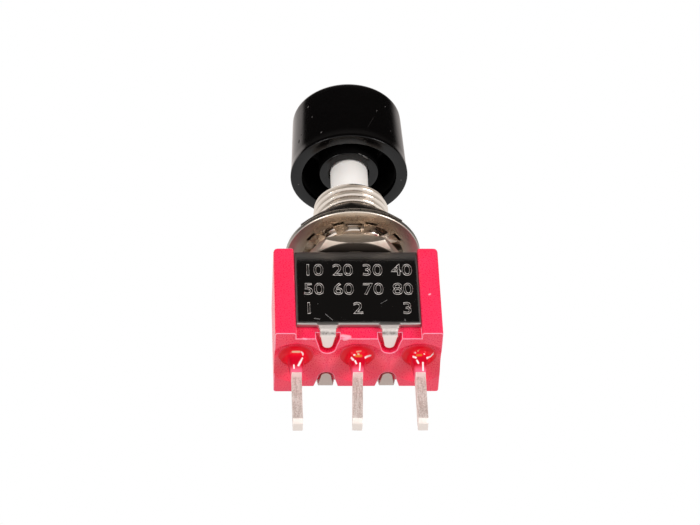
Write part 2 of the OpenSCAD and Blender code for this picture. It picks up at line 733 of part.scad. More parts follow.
// The part of a terminal below the board face: a flat pin with a bevelled tip, in (y, z).
module pin_profile() {
    polygon([[-terminal_w/2, 0], [terminal_w/2, 0],
             [terminal_w/2, tip_back_bevel - terminal_l], [terminal_w/2 - tip_back_bevel, -terminal_l],
             [tip_bevel - terminal_w/2, -terminal_l], [-terminal_w/2, tip_bevel - terminal_l]]);
}

// The common terminal: its post ends in a ridge that the blade rocks on, with a tongue through it.
module common_terminal() {
    tongue_top = blade_top_z + tongue_h;
    color("#cfc7bb") {
        end_pin(-1);
        translate([-post_x, 0, 0]) difference() {
            along_y(post_w) ridge_post();
            translate([terminal_t/2, 0, snap_foot_z]) rotate([0, 45, 0])
                cube([snap_notch, post_w + 2*over, snap_notch], center = true);
        }
        translate([-post_x, 0, (floor_t + tongue_top)/2])
            cube([terminal_t/2, tongue_w, tongue_top - floor_t], center = true);
    }
}

// The pin of an end terminal, from its tip to the chamber's floor. i is -1 or 1.
module end_pin(i) {
    translate([i*terminal_pitch, 0, 0]) {
        along_x(terminal_t) pin_profile();
        along_y(terminal_w) floor_pin(i, 0, floor_t);
    }
}

// The common terminal's post seen from the front, in (x, z): a roof with a round ridge.
module ridge_post() {
    half_t = terminal_t/2;
    side = ridge_r*sin(45);
    roof_z = pivot_z + side;
    eaves_z = roof_z - (half_t - side);
    translate([0, pivot_z]) circle(ridge_r);
    polygon([[-half_t, floor_t], [half_t, floor_t], [half_t, eaves_z],
             [side, roof_z], [-side, roof_z], [-half_t, eaves_z]]);
}

// A terminal's post with an arm folded towards the contacts at its top, in (x, z).
module folded_post(post_x, arm_z, end_x) {
    side = sign(end_x - post_x);
    out_r = terminal_t + arm_fold_r;
    corner_x = post_x - side*terminal_t/2;
    top = arm_z + terminal_t;
    translate([post_x - terminal_t/2, floor_t]) square([terminal_t, top - out_r - floor_t]);
    translate([corner_x + side*out_r, top - out_r]) mirror([side > 0 ? 1 : 0, 0])
        quarter_ring(out_r, out_r - terminal_t);
    translate([min(end_x, corner_x + side*out_r), arm_z])
        square([abs(end_x - corner_x - side*out_r), terminal_t]);
}

// The middle terminal, which the blade touches while the button is pressed.
module open_terminal() {
    color("#cfc7bb") difference() {
        union() {
            along_y(post_w) folded_post(0, open_arm_top_z - terminal_t, arm_end_x);
            rotate([0, middle_lean, 0]) along_x(terminal_t) pin_profile();
            along_y(terminal_w) floor_pin(0, 0, floor_t);
        }
        translate([contact_x, 0, open_arm_top_z - terminal_t - over])
            cylinder(d = shank_d + 2*seat_play, h = terminal_t + 2*over);
    }
}

// The terminal that the blade rests on while the button is up.
module closed_terminal() {
    color("#cfc7bb") difference() {
        union() {
            end_pin(1);
            along_y(post_w) folded_post(post_x, closed_arm_z, contact_x - contact_d/2);
        }
        translate([contact_x, 0, closed_arm_z - over])
            cylinder(d = shank_d + 2*seat_play, h = terminal_t + 2*over);
    }
}

// A contact rivet: a low domed head at z = 0 that faces up, and a shank below it.
module contact_head(height) {
    rotate_extrude() polygon([[0, 0], [contact_d/2, 0], [contact_d/2, height*0.4],
                              [contact_d/2*0.6, height*0.9], [0, height]]);
}

module open_contact() {
    color("#e6e2da") translate([contact_x, 0, open_arm_top_z]) {
        contact_head(fixed_head_h);
        translate([0, 0, -terminal_t]) cylinder(d = shank_d, h = terminal_t);
    }
}

module closed_contact() {
    color("#e6e2da") translate([contact_x, 0, closed_arm_z]) {
        mirror([0, 0, 1]) contact_head(fixed_head_h);
        cylinder(d = shank_d, h = terminal_t);
    }
}

module moving_contact() {
    color("#e6e2da") translate([contact_x, 0, 0]) {
        translate([0, 0, blade_top_z]) contact_head(moving_head_h);
        translate([0, 0, blade_z]) mirror([0, 0, 1]) contact_head(moving_head_h);
        translate([0, 0, blade_z]) cylinder(d = shank_d, h = blade_t);
    }
}

// The springy blade: forked over the common terminal's tongue, with a window for the snap spring.
module contact_blade() {
    heel_x = pivot_x - blade_heel_l;
    end_x = contact_x + contact_d/2 + blade_end_l;
    fork_l = blade_heel_l + terminal_t/4 + blade_play/4;
    fork_w = tongue_w + 2*blade_play;
    window_l = window_end_x - pivot_x - window_x;
    window_w = snap_w + 2*blade_play;
    color("#c98f4a") translate([0, 0, blade_z]) difference() {
        linear_extrude(blade_t) difference() {
            translate([heel_x, -blade_w/2]) square([end_x - heel_x, blade_w]);
            translate([heel_x - over, -fork_w/2]) square([fork_l + over, fork_w]);
            translate([pivot_x + window_x, -window_w/2]) square([window_l, window_w]);
        }
        translate([contact_x, 0, -over]) cylinder(d = shank_d + 2*seat_play, h = blade_t + 2*over);
    }
}

// The bowed spring from the common terminal's notch to the blade, which makes the blade snap over.
module snap_spring() {
    from = [pivot_x + terminal_t/2 + seat_play, snap_foot_z];
    to = [window_end_x - seat_play, blade_z + blade_t/2];
    chord = norm(to - from);
    bow_r = (chord*chord/4 + snap_bow*snap_bow)/(2*snap_bow);
    tilt = atan2(to.y - from.y, to.x - from.x);
    color("#d6b27a") along_y(snap_w) translate((from + to)/2) rotate(tilt)
        intersection() {
            translate([0, bow_r - snap_bow]) difference() {
                circle(bow_r);
                circle(bow_r - snap_t);
            }
            translate([-chord/2, -2*snap_bow]) square([chord, 2*snap_bow]);
        }
}

// The resin that seals one terminal: it fills the well, and its surface sweeps down the pin in a
// thin skirt, steep at first and then nearly upright, as a wetting liquid sets.
module terminal_seal() {
    pool_z = well_mouth_h - pool_drop;
    pocket_r = well_r - seat_play/2;
    pool_r = pocket_r + (well_mouth_r - well_r)*pool_drop/well_mouth_h;
    pin = [terminal_t/2 + resin_film, terminal_w/2 + resin_film];
    skirt = [for (s = [0:0.1:1]) let (spread = pow(1 - s, skirt_power))
        [pool_z - s*(pool_z + resin_climb), pin.x + spread*(pool_r - pin.x),
         pin.y + spread*(pool_r - pin.y), 2 + 4*s]];
    ring_stack(concat([[well_depth, pocket_r, pocket_r, 2],
                       [well_mouth_h, pocket_r, pocket_r, 2]], skirt));
}

module common_seal() {
    color("#c01428") translate([-terminal_pitch, 0, 0]) difference() {
        terminal_seal();
        cube([terminal_t, terminal_w, 3*terminal_l], center = true);
    }
}

module open_seal() {
    color("#c01428") difference() {
        terminal_seal();
        rotate([0, middle_lean, 0]) translate([0, 0, -terminal_l])
            cube([terminal_t, terminal_w, 2*terminal_l], center = true);
        cube([terminal_t, terminal_w, 2*floor_t], center = true);
    }
}

module closed_seal() {
    color("#c01428") translate([terminal_pitch, 0, 0]) difference() {
        terminal_seal();
        cube([terminal_t, terminal_w, 3*terminal_l], center = true);
    }
}

cap();
plunger();
drive_spring();
drive_pin();
return_spring();
bushing();
mounting_frame();
lower_nut();
lock_washer();
upper_nut();
spring_seat();
case();
common_terminal();
open_terminal();
closed_terminal();
open_contact();
closed_contact();
moving_contact();
contact_blade();
snap_spring();
common_seal();
open_seal();
closed_seal();
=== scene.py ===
# %% [markdown]
# # Dressing a small pushbutton switch
#
# The solid model of the switch was made in CAD and packed with its joints. This script loads it as a
# fixed frame and dresses it: a real thread, twisted washer teeth, cast resin, stamped marks, and a
# material for each part. Sizes are given in millimetres, as on a drawing, and every mesh is brought
# to Blender's metres in one place.

# %% Load the frame
import json
import math

import bmesh
import bpy
from mathutils import Matrix, Vector

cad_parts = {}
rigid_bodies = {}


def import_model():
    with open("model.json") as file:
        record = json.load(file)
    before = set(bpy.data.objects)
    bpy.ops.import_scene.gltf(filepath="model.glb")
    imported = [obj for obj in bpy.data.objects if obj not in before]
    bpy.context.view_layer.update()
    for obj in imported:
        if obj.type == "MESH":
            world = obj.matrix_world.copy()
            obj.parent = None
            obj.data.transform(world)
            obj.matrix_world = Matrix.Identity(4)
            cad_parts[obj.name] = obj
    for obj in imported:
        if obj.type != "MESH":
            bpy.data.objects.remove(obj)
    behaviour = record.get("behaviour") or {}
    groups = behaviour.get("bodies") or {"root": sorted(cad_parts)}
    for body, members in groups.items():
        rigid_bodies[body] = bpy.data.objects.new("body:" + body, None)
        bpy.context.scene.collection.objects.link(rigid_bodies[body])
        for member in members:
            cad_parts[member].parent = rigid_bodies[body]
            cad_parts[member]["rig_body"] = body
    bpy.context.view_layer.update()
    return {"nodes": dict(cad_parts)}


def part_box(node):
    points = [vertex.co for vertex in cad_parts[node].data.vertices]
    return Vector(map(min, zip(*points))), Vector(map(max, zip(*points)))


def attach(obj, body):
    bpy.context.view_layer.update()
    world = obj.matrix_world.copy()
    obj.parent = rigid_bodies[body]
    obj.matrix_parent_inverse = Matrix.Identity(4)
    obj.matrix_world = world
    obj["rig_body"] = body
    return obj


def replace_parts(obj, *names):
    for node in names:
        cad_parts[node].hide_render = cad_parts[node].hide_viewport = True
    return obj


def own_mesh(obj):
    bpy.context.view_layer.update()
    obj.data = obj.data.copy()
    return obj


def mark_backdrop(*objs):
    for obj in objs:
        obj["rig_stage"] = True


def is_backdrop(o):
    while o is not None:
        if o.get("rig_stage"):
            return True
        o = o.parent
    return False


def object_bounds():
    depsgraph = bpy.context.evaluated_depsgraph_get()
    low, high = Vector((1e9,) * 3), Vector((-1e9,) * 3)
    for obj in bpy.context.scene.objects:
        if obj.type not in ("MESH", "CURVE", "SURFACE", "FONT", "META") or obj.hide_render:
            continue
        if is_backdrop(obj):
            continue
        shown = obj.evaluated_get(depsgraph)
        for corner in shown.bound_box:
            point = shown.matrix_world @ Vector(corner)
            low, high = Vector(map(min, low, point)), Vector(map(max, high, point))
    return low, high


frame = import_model()
scene = bpy.context.scene
MM = 0.001


def span(node):
    """The lowest and highest corner of a CAD node, in millimetres."""
    low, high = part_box(node)
    return low / MM, high / MM


# %% [markdown]
# ## Helpers for nodes
#
# Shader trees and geometry trees are built in the same way: a node is added, its settings are made,
# and its inputs are given a value or a link. One function does that for every kind of node. Colours
# are written as the hex codes a colour picker shows. Blender's sockets hold linear light, so one
# function converts them.

# %% Node and colour helpers
def add_node(tree, kind, settings=None, inputs=None):
    """Adds a node. settings are its properties, and inputs are sockets by name or number."""
    node = tree.nodes.new(kind)
    for key, value in (settings or {}).items():
        setattr(node, key, value)
    for key, value in (inputs or {}).items():
        if isinstance(value, bpy.types.NodeSocket):
            tree.links.new(value, node.inputs[key])
        else:
            node.inputs[key].default_value = value
    return node


def linear(code):
    """A hex colour as the linear values of a colour socket."""
    parts = [int(code[i:i + 2], 16) / 255 for i in (1, 3, 5)]
    return tuple(c / 12.92 if c <= 0.04045 else ((c + 0.055) / 1.055) ** 2.4 for c in parts) + (1.0,)


print("mid grey:", [round(c, 3) for c in linear("#808080")])

# %% [markdown]
# A few kinds of node come up again and again: sums, ramps from one number to another, and blends.
# Each gets a short function that returns its result, so that a tree reads almost like a formula.

# %% Sums, ramps and blends
def maths(tree, operation, *values):
    """The result of a maths node."""
    return add_node(tree, "ShaderNodeMath", {"operation": operation}, dict(enumerate(values))).outputs[0]


def vectors(tree, operation, first, second=(0, 0, 0)):
    """The result of a vector maths node: a vector, or a number if it measures something."""
    node = add_node(tree, "ShaderNodeVectorMath", {"operation": operation},
                    {0: first, "Scale" if operation == "SCALE" else 1: second})
    return node.outputs["Value" if operation in ("LENGTH", "DISTANCE", "DOT_PRODUCT") else "Vector"]


def axes(tree, place):
    """The X, Y and Z of a place."""
    return add_node(tree, "ShaderNodeSeparateXYZ", {}, {0: place}).outputs[:]


def point(tree, x=0.0, y=0.0, z=0.0):
    """The place with these coordinates."""
    return add_node(tree, "ShaderNodeCombineXYZ", {}, {0: x, 1: y, 2: z}).outputs[0]


def held(tree, value, low, high):
    """The value, held between two limits."""
    return add_node(tree, "ShaderNodeClamp", {}, {0: value, 1: low, 2: high}).outputs[0]


def ramp(tree, value, start, end, low=0.0, high=1.0, kind="LINEAR"):
    """Goes from low to high as the value goes from start to end."""
    return add_node(tree, "ShaderNodeMapRange", {"interpolation_type": kind},
                    {0: value, 1: start, 2: end, 3: low, 4: high}).outputs[0]


def ease(tree, value, start, end, low=0.0, high=1.0):
    """A ramp that begins and ends gently."""
    return ramp(tree, value, start, end, low, high, "SMOOTHSTEP")


def blend(tree, share, first, second):
    """A number between two."""
    return add_node(tree, "ShaderNodeMix", {"data_type": "FLOAT"}, {0: share, 2: first, 3: second}).outputs[0]


def tint(tree, share, first, second):
    """A colour between two, each a hex code or a link."""
    ends = [linear(colour) if isinstance(colour, str) else colour for colour in (first, second)]
    return add_node(tree, "ShaderNodeMix", {"data_type": "RGBA"},
                    {0: share, 6: ends[0], 7: ends[1]}).outputs[2]


def noise(tree, mm, scale, detail):
    """A cloudy pattern with this many patches to a millimetre."""
    return add_node(tree, "ShaderNodeTexNoise", {},
                    {"Vector": mm, "Scale": scale, "Detail": detail}).outputs[0]


def bumped(tree, height, depth, strength=1.0, below=None, dented=False):
    """The normal of a surface raised by up to depth millimetres, or dented, on top of the bump below."""
    inputs = {"Height": height, "Distance": depth * MM, "Strength": strength}
    if below is not None:
        inputs["Normal"] = below
    return add_node(tree, "ShaderNodeBump", {"invert": dented}, inputs).outputs[0]


# %% [markdown]
# ## The camera
#
# The switch is looked at from below and in front, so that the terminals and the marked side of the
# frame show together. A camera in Blender looks along its own -Z with +Y up, so the three directions
# of the view become the columns of its matrix. A long lens from 24 cm keeps the sides nearly
# parallel, as in a product picture.

# %% Camera
RISE, TURN, TILT = math.radians(41.7628), math.radians(-3.9768), math.radians(-2.6188)
ORIGIN_RIGHT, ORIGIN_UP, DISTANCE = 0.5856, -7.6380, 239.0076
ahead = Vector((-math.sin(TURN) * math.cos(RISE), math.cos(TURN) * math.cos(RISE), math.sin(RISE)))
level = Vector((math.cos(TURN), math.sin(TURN), 0.0))
over = level.cross(ahead)
right = math.cos(TILT) * level + math.sin(TILT) * over
up = math.cos(TILT) * over - math.sin(TILT) * level
eye = -(ORIGIN_RIGHT * right + ORIGIN_UP * up + DISTANCE * ahead) * MM

camera = bpy.data.objects.new("camera", bpy.data.cameras.new("camera"))
camera.data.lens, camera.data.sensor_width = 161.43, 36.0
camera.data.clip_start, camera.data.clip_end = 0.01, 10.0
camera.matrix_world = Matrix.Translation(eye) @ Matrix((right, up, -ahead)).transposed().to_4x4()
scene.collection.objects.link(camera)
scene.camera = camera
print("camera at", [round(v / MM, 1) for v in eye], "mm")

# %% [markdown]
# ## A white studio with a dark flag
#
# Bright metal shows its surroundings and little else. The world is white wherever the eye, a
# reflection or clear resin looks, and a little dimmer as a light, so that colours come out as they
# are written. Flat polished steel would then turn plain white, so a dark flag hangs in the direction
# that it mirrors.

# %% World
def backdrop_rays(tree):
    """1 for a ray that should see the background as it is meant to look, 0 for a ray that carries light."""
    ray = add_node(tree, "ShaderNodeLightPath")
    seen = add_node(tree, "ShaderNodeMath", {"operation": "ADD", "use_clamp": True},
                    {0: ray.outputs["Is Camera Ray"], 1: ray.outputs["Is Glossy Ray"]})
    seen = add_node(tree, "ShaderNodeMath", {"operation": "ADD", "use_clamp": True},
                    {0: seen.outputs[0], 1: ray.outputs["Is Transmission Ray"]})
    return seen.outputs[0]


def empty_tree(owner):
    """The node tree of a world or a material, with nothing in it."""
    owner.use_nodes = True
    owner.node_tree.nodes.clear()
    return owner.node_tree


WHITE = (1, 1, 1, 1)
world = bpy.data.worlds.new("white_studio")
scene.world = world
tree = empty_tree(world)
light = add_node(tree, "ShaderNodeBackground", {}, {"Color": WHITE, "Strength": 0.82})
white = add_node(tree, "ShaderNodeBackground", {}, {"Color": WHITE, "Strength": 1.0})
mixed = add_node(tree, "ShaderNodeMixShader", {},
                 {0: backdrop_rays(tree), 1: light.outputs[0], 2: white.outputs[0]})
add_node(tree, "ShaderNodeOutputWorld", {}, {"Surface": mixed.outputs[0]})
scene.view_settings.view_transform = "Standard"
print("world nodes:", len(tree.nodes))


# %% [markdown]
# Every mesh of this script passes through the next functions: one makes it from points and faces, and
# one brings it to metres, gives it its material and decides which edges look sharp.

# %% Helpers for meshes
SQUARE = 0.99995


def link_piece(name, mesh, material, sharp=25.0, flats=False):
    """Makes an object from a mesh in millimetres: brings it to metres, sets its material, and shades it
    smooth except across edges sharper than the given angle. With flats, a face that stands square to an
    axis keeps its own normal, or a rounded edge would tilt the light all over it."""
    mesh.materials.clear()
    mesh.materials.append(material)
    shape = bmesh.new()
    shape.from_mesh(mesh)
    for face in shape.faces:
        face.smooth = True
    for edge in shape.edges:
        edge.smooth = len(edge.link_faces) == 2 and edge.calc_face_angle(0.0) < math.radians(sharp)
    shape.to_mesh(mesh)
    shape.free()
    if flats:
        normals = [corner.vector.copy() for corner in mesh.corner_normals]
        for face in mesh.polygons:
            if max(abs(part) for part in face.normal) > SQUARE:
                for k in face.loop_indices:
                    normals[k] = face.normal.copy()
        mesh.normals_split_custom_set(normals)
    mesh.transform(Matrix.Scale(MM, 4))
    mesh.name = name
    piece = bpy.data.objects.new(name, mesh)
    scene.collection.objects.link(piece)
    print(f"{name}: {len(mesh.polygons)} faces")
    return piece


def mesh_from(name, points, faces):
    """A mesh in millimetres from points and faces, its doubles merged and its faces turned outwards."""
    mesh = bpy.data.meshes.new(name)
    mesh.from_pydata([tuple(p) for p in points], [], faces)
    shape = bmesh.new()
    shape.from_mesh(mesh)
    bmesh.ops.remove_doubles(shape, verts=shape.verts, dist=1e-4)
    bmesh.ops.recalc_face_normals(shape, faces=shape.faces)
    shape.to_mesh(mesh)
    shape.free()
    return mesh


def wrap(loops, size, closed=False):
    """Faces between loops of size points each. closed joins the last loop to the first."""
    return [(j * size + i, j * size + (i + 1) % size, (j + 1) % loops * size + (i + 1) % size,
             (j + 1) % loops * size + i) for j in range(loops - (not closed)) for i in range(size)]


# %% [markdown]
# The floor is a wide pale sheet well below the switch. It is far away, because the camera itself
# stands low. The flag is a dome over the switch that only reflections see, because Blender can hide an
# object from each kind of ray on its own. It is dark in front, paler overhead, and it glows behind
# the switch, as a white room does past the edges of a cloth.

# %% Floor and flag
paper = bpy.data.materials.new("white_paper")
tree = empty_tree(paper)
dull = add_node(tree, "ShaderNodeBsdfDiffuse", {}, {"Color": linear("#dbd9d7")})
bright = add_node(tree, "ShaderNodeEmission", {}, {"Color": WHITE, "Strength": 1.0})
mixed = add_node(tree, "ShaderNodeMixShader", {},
                 {0: backdrop_rays(tree), 1: dull.outputs[0], 2: bright.outputs[0]})
add_node(tree, "ShaderNodeOutputMaterial", {}, {"Surface": mixed.outputs[0]})

felt = bpy.data.materials.new("black_felt")
tree = empty_tree(felt)
x, y, z = axes(tree, vectors(tree, "NORMALIZE", add_node(tree, "ShaderNodeTexCoord").outputs["Object"]))
turn = maths(tree, "ARCTAN2", x, maths(tree, "MULTIPLY", y, -1.0))
glow = ease(tree, z, 0.78, 1.0, 0.011, 0.45)
for start, end, strength in ((108, 137, 0.64), (-104, -118, 0.95)):
    side = ease(tree, turn, math.radians(start), math.radians(end), 0.0, strength)
    glow = maths(tree, "ADD", glow, side)
shine = add_node(tree, "ShaderNodeEmission", {}, {"Color": linear("#fff6f2"), "Strength": glow})
add_node(tree, "ShaderNodeOutputMaterial", {}, {"Surface": shine.outputs[0]})

FLOOR_Z, FLOOR_HALF = -300.0, 2500.0
corners = [(x * FLOOR_HALF, y * FLOOR_HALF, FLOOR_Z) for x, y in ((-1, -1), (1, -1), (1, 1), (-1, 1))]
floor = link_piece("floor", mesh_from("floor", corners, [(0, 1, 2, 3)]), paper)

DOME_R, DOME_LOW, DOME_HIGH, DOME_STEP = 280.0, 15, 85, 5
rises = [math.radians(rise) for rise in range(DOME_LOW, DOME_HIGH + 1, DOME_STEP)]
turns = [math.radians(turn) for turn in range(-180, 180, DOME_STEP)]
points = [(DOME_R * math.cos(rise) * math.sin(turn), -DOME_R * math.cos(rise) * math.cos(turn),
           DOME_R * math.sin(rise)) for rise in rises for turn in turns]
flag = link_piece("dark_flag", mesh_from("dark_flag", points, wrap(len(rises), len(turns))), felt)
for unseen in ("visible_camera", "visible_diffuse", "visible_transmission", "visible_shadow"):
    setattr(flag, unseen, False)
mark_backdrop(floor, flag)

# %% [markdown]
# Two large soft lamps stand left and right of the camera. They are weak, and only model the shapes a
# little.

# %% Lamps
MIDDLE = Vector((0, 0, 0.01))


def soft_lamp(name, turn, rise, reach, size, watts):
    """A square soft lamp at a distance in millimetres, turned towards the middle of the switch."""
    lamp = bpy.data.objects.new(name, bpy.data.lights.new(name, "AREA"))
    lamp.data.size, lamp.data.energy = size * MM, watts
    a, e = math.radians(turn), math.radians(rise)
    away = Vector((math.sin(a) * math.cos(e), -math.cos(a) * math.cos(e), math.sin(e)))
    aim = away.to_track_quat("Z", "Y").to_matrix().to_4x4()
    lamp.matrix_world = Matrix.Translation(MIDDLE + away * reach * MM) @ aim
    scene.collection.objects.link(lamp)


soft_lamp("lamp_left", -48, -14, 250, 95, 0.23)
soft_lamp("lamp_right", 52, -18, 250, 105, 0.28)


# %% [markdown]
# ## Materials
#
# Every material begins with the place on the piece, in millimetres, so that a pattern's scale can be
# read from a real size. It ends in one Principled shader. Numbers that are the same all over the
# piece sit on the shader itself, and only what really varies is linked.

# %% Starting and ending a material
def begin_material(name):
    """A new material, its tree, and the place on the piece in millimetres."""
    material = bpy.data.materials.new(name)
    tree = empty_tree(material)
    place = add_node(tree, "ShaderNodeTexCoord").outputs["Object"]
    return material, tree, vectors(tree, "SCALE", place, 1 / MM)


def end_material(material, inputs):
    """Adds the shader with these inputs and links it to the output."""
    tree = material.node_tree
    shader = add_node(tree, "ShaderNodeBsdfPrincipled", {}, inputs)
    add_node(tree, "ShaderNodeOutputMaterial", {}, {"Surface": shader.outputs[0]})
    print(material.name, len(tree.nodes), "nodes")


# %% [markdown]
# Wear sits in certain places: a nick, a hair scratch, a speck of dust. Each is a short line on the
# surface, and the shader measures how far the point it is shading lies from that line.

# %% Marks of wear
SOLID = 0.3


def near_lines(tree, mm, lines):
    """1 on any of the lines, falling to 0 at its edge. A line is (start, end, half width) in mm, and
    SOLID is the share of that width in which it is at its full strength."""
    marked = 0.0
    for start, end, half in lines:
        along = Vector(end) - Vector(start)
        unit = tuple(along.normalized())
        offset = vectors(tree, "SUBTRACT", mm, start)
        reach = held(tree, vectors(tree, "DOT_PRODUCT", offset, unit), 0.0, along.length)
        gap = vectors(tree, "DISTANCE", offset, vectors(tree, "SCALE", unit, reach))
        marked = maths(tree, "MAXIMUM", marked, ease(tree, gap, half, half * SOLID))
    return marked


# %% [markdown]
# ** Moulded thermoset, red.** The case is pressed from a filled resin. It is a strong pink red with a
# satin skin: fine grain in the gloss, faint paler clouds from the filler, and tiny pale specks. Where
# it is chipped, the paler inside shows. Along its rounded edges and on a few small facets at the front
# edge it is painted paler, as a painted highlight.

# %% Red thermoset
case_red, tree, mm = begin_material("red_thermoset")
cloud = ramp(tree, noise(tree, mm, 0.45, 3.0), 0.35, 0.7)
colour = tint(tree, cloud, "#ff1a4c", "#f82456")
cells = add_node(tree, "ShaderNodeTexVoronoi", {}, {"Vector": mm, "Scale": 3.2, "Randomness": 1.0})
colour = tint(tree, ramp(tree, cells.outputs["Distance"], 0.10, 0.05), colour, "#fb5480")
# A chip high on the front, and painted highlights on small facets at the lower front edge.
chips_and_highlights = near_lines(tree, mm, [((5.46, -3.43, 3.90), (5.53, -3.43, 3.96), 0.11),
                              ((-1.25, -2.80, 0.30), (-0.75, -2.80, 0.20), 0.24),
                              ((-1.10, -2.72, 0.04), (-0.90, -2.78, 0.04), 0.20),
                              ((-4.20, -2.80, 0.04), (-4.00, -2.76, 0.00), 0.12)])
colour = tint(tree, chips_and_highlights, colour, "#ffa6b8")
# Painted highlight: the faces of the rounded edges are painted paler.
rubbed = add_node(tree, "ShaderNodeAttribute", {"attribute_name": "rubbed"}).outputs["Fac"]
colour = tint(tree, rubbed, colour, "#ff9cb6")
grain = noise(tree, mm, 9.0, 4.0)
end_material(case_red, {"Base Color": colour, "Roughness": ramp(tree, grain, 0.3, 0.7, 0.24, 0.34),
                        "IOR": 1.55, "Specular IOR Level": 0.72, "Normal": bumped(tree, grain, 0.004, 0.6)})

# %% [markdown]
# ** Moulded ABS, black.** The cap is glossy, so it is mostly a dark mirror. What tells the eye that it
# is plastic are the soft edges of its reflections, a faint waviness from the mould, and the dust and
# fine handling marks that black shows first. Two glints on the boss's edge are painted in with the
# dust. Inside the recess the mould was left unpolished, so it swallows what light gets there.

# %% Black ABS
cap_black, tree, mm = begin_material("black_abs")
# Mostly dust. The two lines on the boss's edge, at heights near 19.8 to 19.9 mm, are painted glints.
dust_and_glints = near_lines(tree, mm, [((-3.28, -3.00, 24.33), (-3.24, -3.03, 24.40), 0.07),
                               ((-2.99, -3.39, 22.84), (-2.98, -3.39, 22.90), 0.05),
                               ((3.31, -3.18, 21.50), (3.31, -3.17, 21.56), 0.05),
                               ((-2.35, -3.97, 20.57), (-2.30, -3.99, 20.60), 0.06),
                               ((2.93, -3.34, 24.09), (2.95, -3.32, 24.12), 0.05),
                               ((-4.02, 0.93, 19.50), (-4.05, 0.93, 19.50), 0.05),
                               ((4.20, 0.38, 19.50), (4.20, 0.42, 19.50), 0.05),
                               ((-4.00, -2.24, 21.50), (-3.99, -2.25, 21.54), 0.06),
                               ((0.70, -2.27, 19.90), (0.88, -2.20, 19.88), 0.05),
                               ((1.05, -2.08, 19.83), (1.40, -1.80, 19.80), 0.05),
                               ((2.22, -3.92, 23.15), (2.18, -3.98, 22.85), 0.04)])
hair = near_lines(tree, mm, [((2.18, -3.98, 22.85), (1.12, -4.53, 20.15), 0.016)])
nick = near_lines(tree, mm, [((-4.03, -2.20, 21.18), (-4.01, -2.22, 21.40), 0.13),
                             ((-3.86, -2.46, 21.66), (-3.84, -2.48, 21.84), 0.07)])
colour = tint(tree, dust_and_glints, tint(tree, hair, "#060505", "#2c2a29"), "#6e6a68")
wave, fine = noise(tree, mm, 0.7, 2.0), noise(tree, mm, 14.0, 4.0)
bump = bumped(tree, fine, 0.003, 0.35, below=bumped(tree, wave, 0.02, 0.5))
bump = bumped(tree, nick, 0.16, below=bump, dented=True)
x, y, z = axes(tree, mm)
within = maths(tree, "LESS_THAN", vectors(tree, "LENGTH", point(tree, x, y)), 3.9)
inside = maths(tree, "MULTIPLY", within, maths(tree, "GREATER_THAN", z, 19.95))
rough = blend(tree, inside, ramp(tree, fine, 0.3, 0.7, 0.1, 0.18), 0.6)
end_material(cap_black, {"Base Color": colour, "Roughness": rough, "IOR": 1.5,
                         "Specular IOR Level": ramp(tree, nick, 0.0, 1.0, 0.28, 0.0), "Normal": bump})

# %% [markdown]
# **Acetal, natural white.** The plunger is a slippery plastic with a waxy glow: light goes in a little
# and comes out soft, which subsurface scattering gives.

# %% White acetal
plunger_white, tree, mm = begin_material("white_acetal")
grain = noise(tree, mm, 5.0, 3.0)
end_material(plunger_white, {"Base Color": tint(tree, grain, "#fff6f0", "#fffcf8"), "Roughness": 0.38,
                             "IOR": 1.48, "Subsurface Weight": 0.1, "Subsurface Radius": (1.0, 0.8, 0.7),
                             "Subsurface Scale": 0.4 * MM, "Normal": bumped(tree, grain, 0.006, 0.3)})

# %% [markdown]
# ** Nickel plate.** The bushing, the nuts and the washer are plated in a barrel with thousands of
# others. Nickel is a warm grey metal; the tumbling leaves it bright but never quite even, with fine
# knocks. Shade is painted in as a darker colour, which is also rougher: in the roots of the thread, in
# the upper nut's bore and under the lower nut. The washer is painted darker towards its sides.

# %% Nickel plate, bright and stamped
def nickel(name, light_code, dark_code, rough_low, rough_high, knock, dull=(), shade_code="#4c453f",
           shade_rough=0.5):
    """Barrel-plated nickel: a warm metal with cloudy gloss and small knocks of the given height. dull
    says where shade is painted in, darker and rougher: (measure, from, to), in which a measure is
    "height", "radius" or "side", and all of them have to hold."""
    material, tree, mm = begin_material(name)
    colour = tint(tree, noise(tree, mm, 0.9, 5.0), light_code, dark_code)
    grain = noise(tree, mm, 7.0, 5.0)
    rough = ramp(tree, grain, 0.35, 0.7, rough_low, rough_high)
    if dull:
        x, y, z = axes(tree, mm)
        measures = {"height": z, "radius": vectors(tree, "LENGTH", point(tree, x, y)),
                    "side": maths(tree, "ABSOLUTE", x)}
        # Painted shade: darker and rougher where all the measures hold.
        painted_shade = 1.0
        for measure, start, end in dull:
            painted_shade = maths(tree, "MULTIPLY", painted_shade, ease(tree, measures[measure], start, end))
        colour = tint(tree, painted_shade, colour, shade_code)
        rough = blend(tree, painted_shade, rough, shade_rough)
    end_material(material, {"Base Color": colour, "Metallic": 1.0, "Roughness": rough,
                            "Normal": bumped(tree, grain, knock, 0.7)})
    return material


BRIGHT = "#ece2d8", "#d8cabd", 0.08, 0.2, 0.003
# Painted shade in the thread's roots, the upper nut's bore, under the lower nut and towards the washer's
# sides.
thread_nickel = nickel("nickel_thread", *BRIGHT, (("radius", 2.90, 2.68), ("height", 16.14, 16.10)),
                       "#a2968a", 0.3)
upper_nickel = nickel("bright_nickel", *BRIGHT, (("radius", 3.3, 3.1),), "#8f8377", 0.3)
lower_nickel = nickel("nickel_worn", "#ecdfd1", "#dac8b6", 0.32, 0.48, 0.006,
                      (("height", 8.75, 8.73),), "#675f57", 0.55)
washer_nickel = nickel("stamped_nickel", "#f0e5d8", "#d6c6b4", 0.26, 0.38, 0.004,
                       (("side", 2.9, 4.3),), "#b2aea6", 0.42)
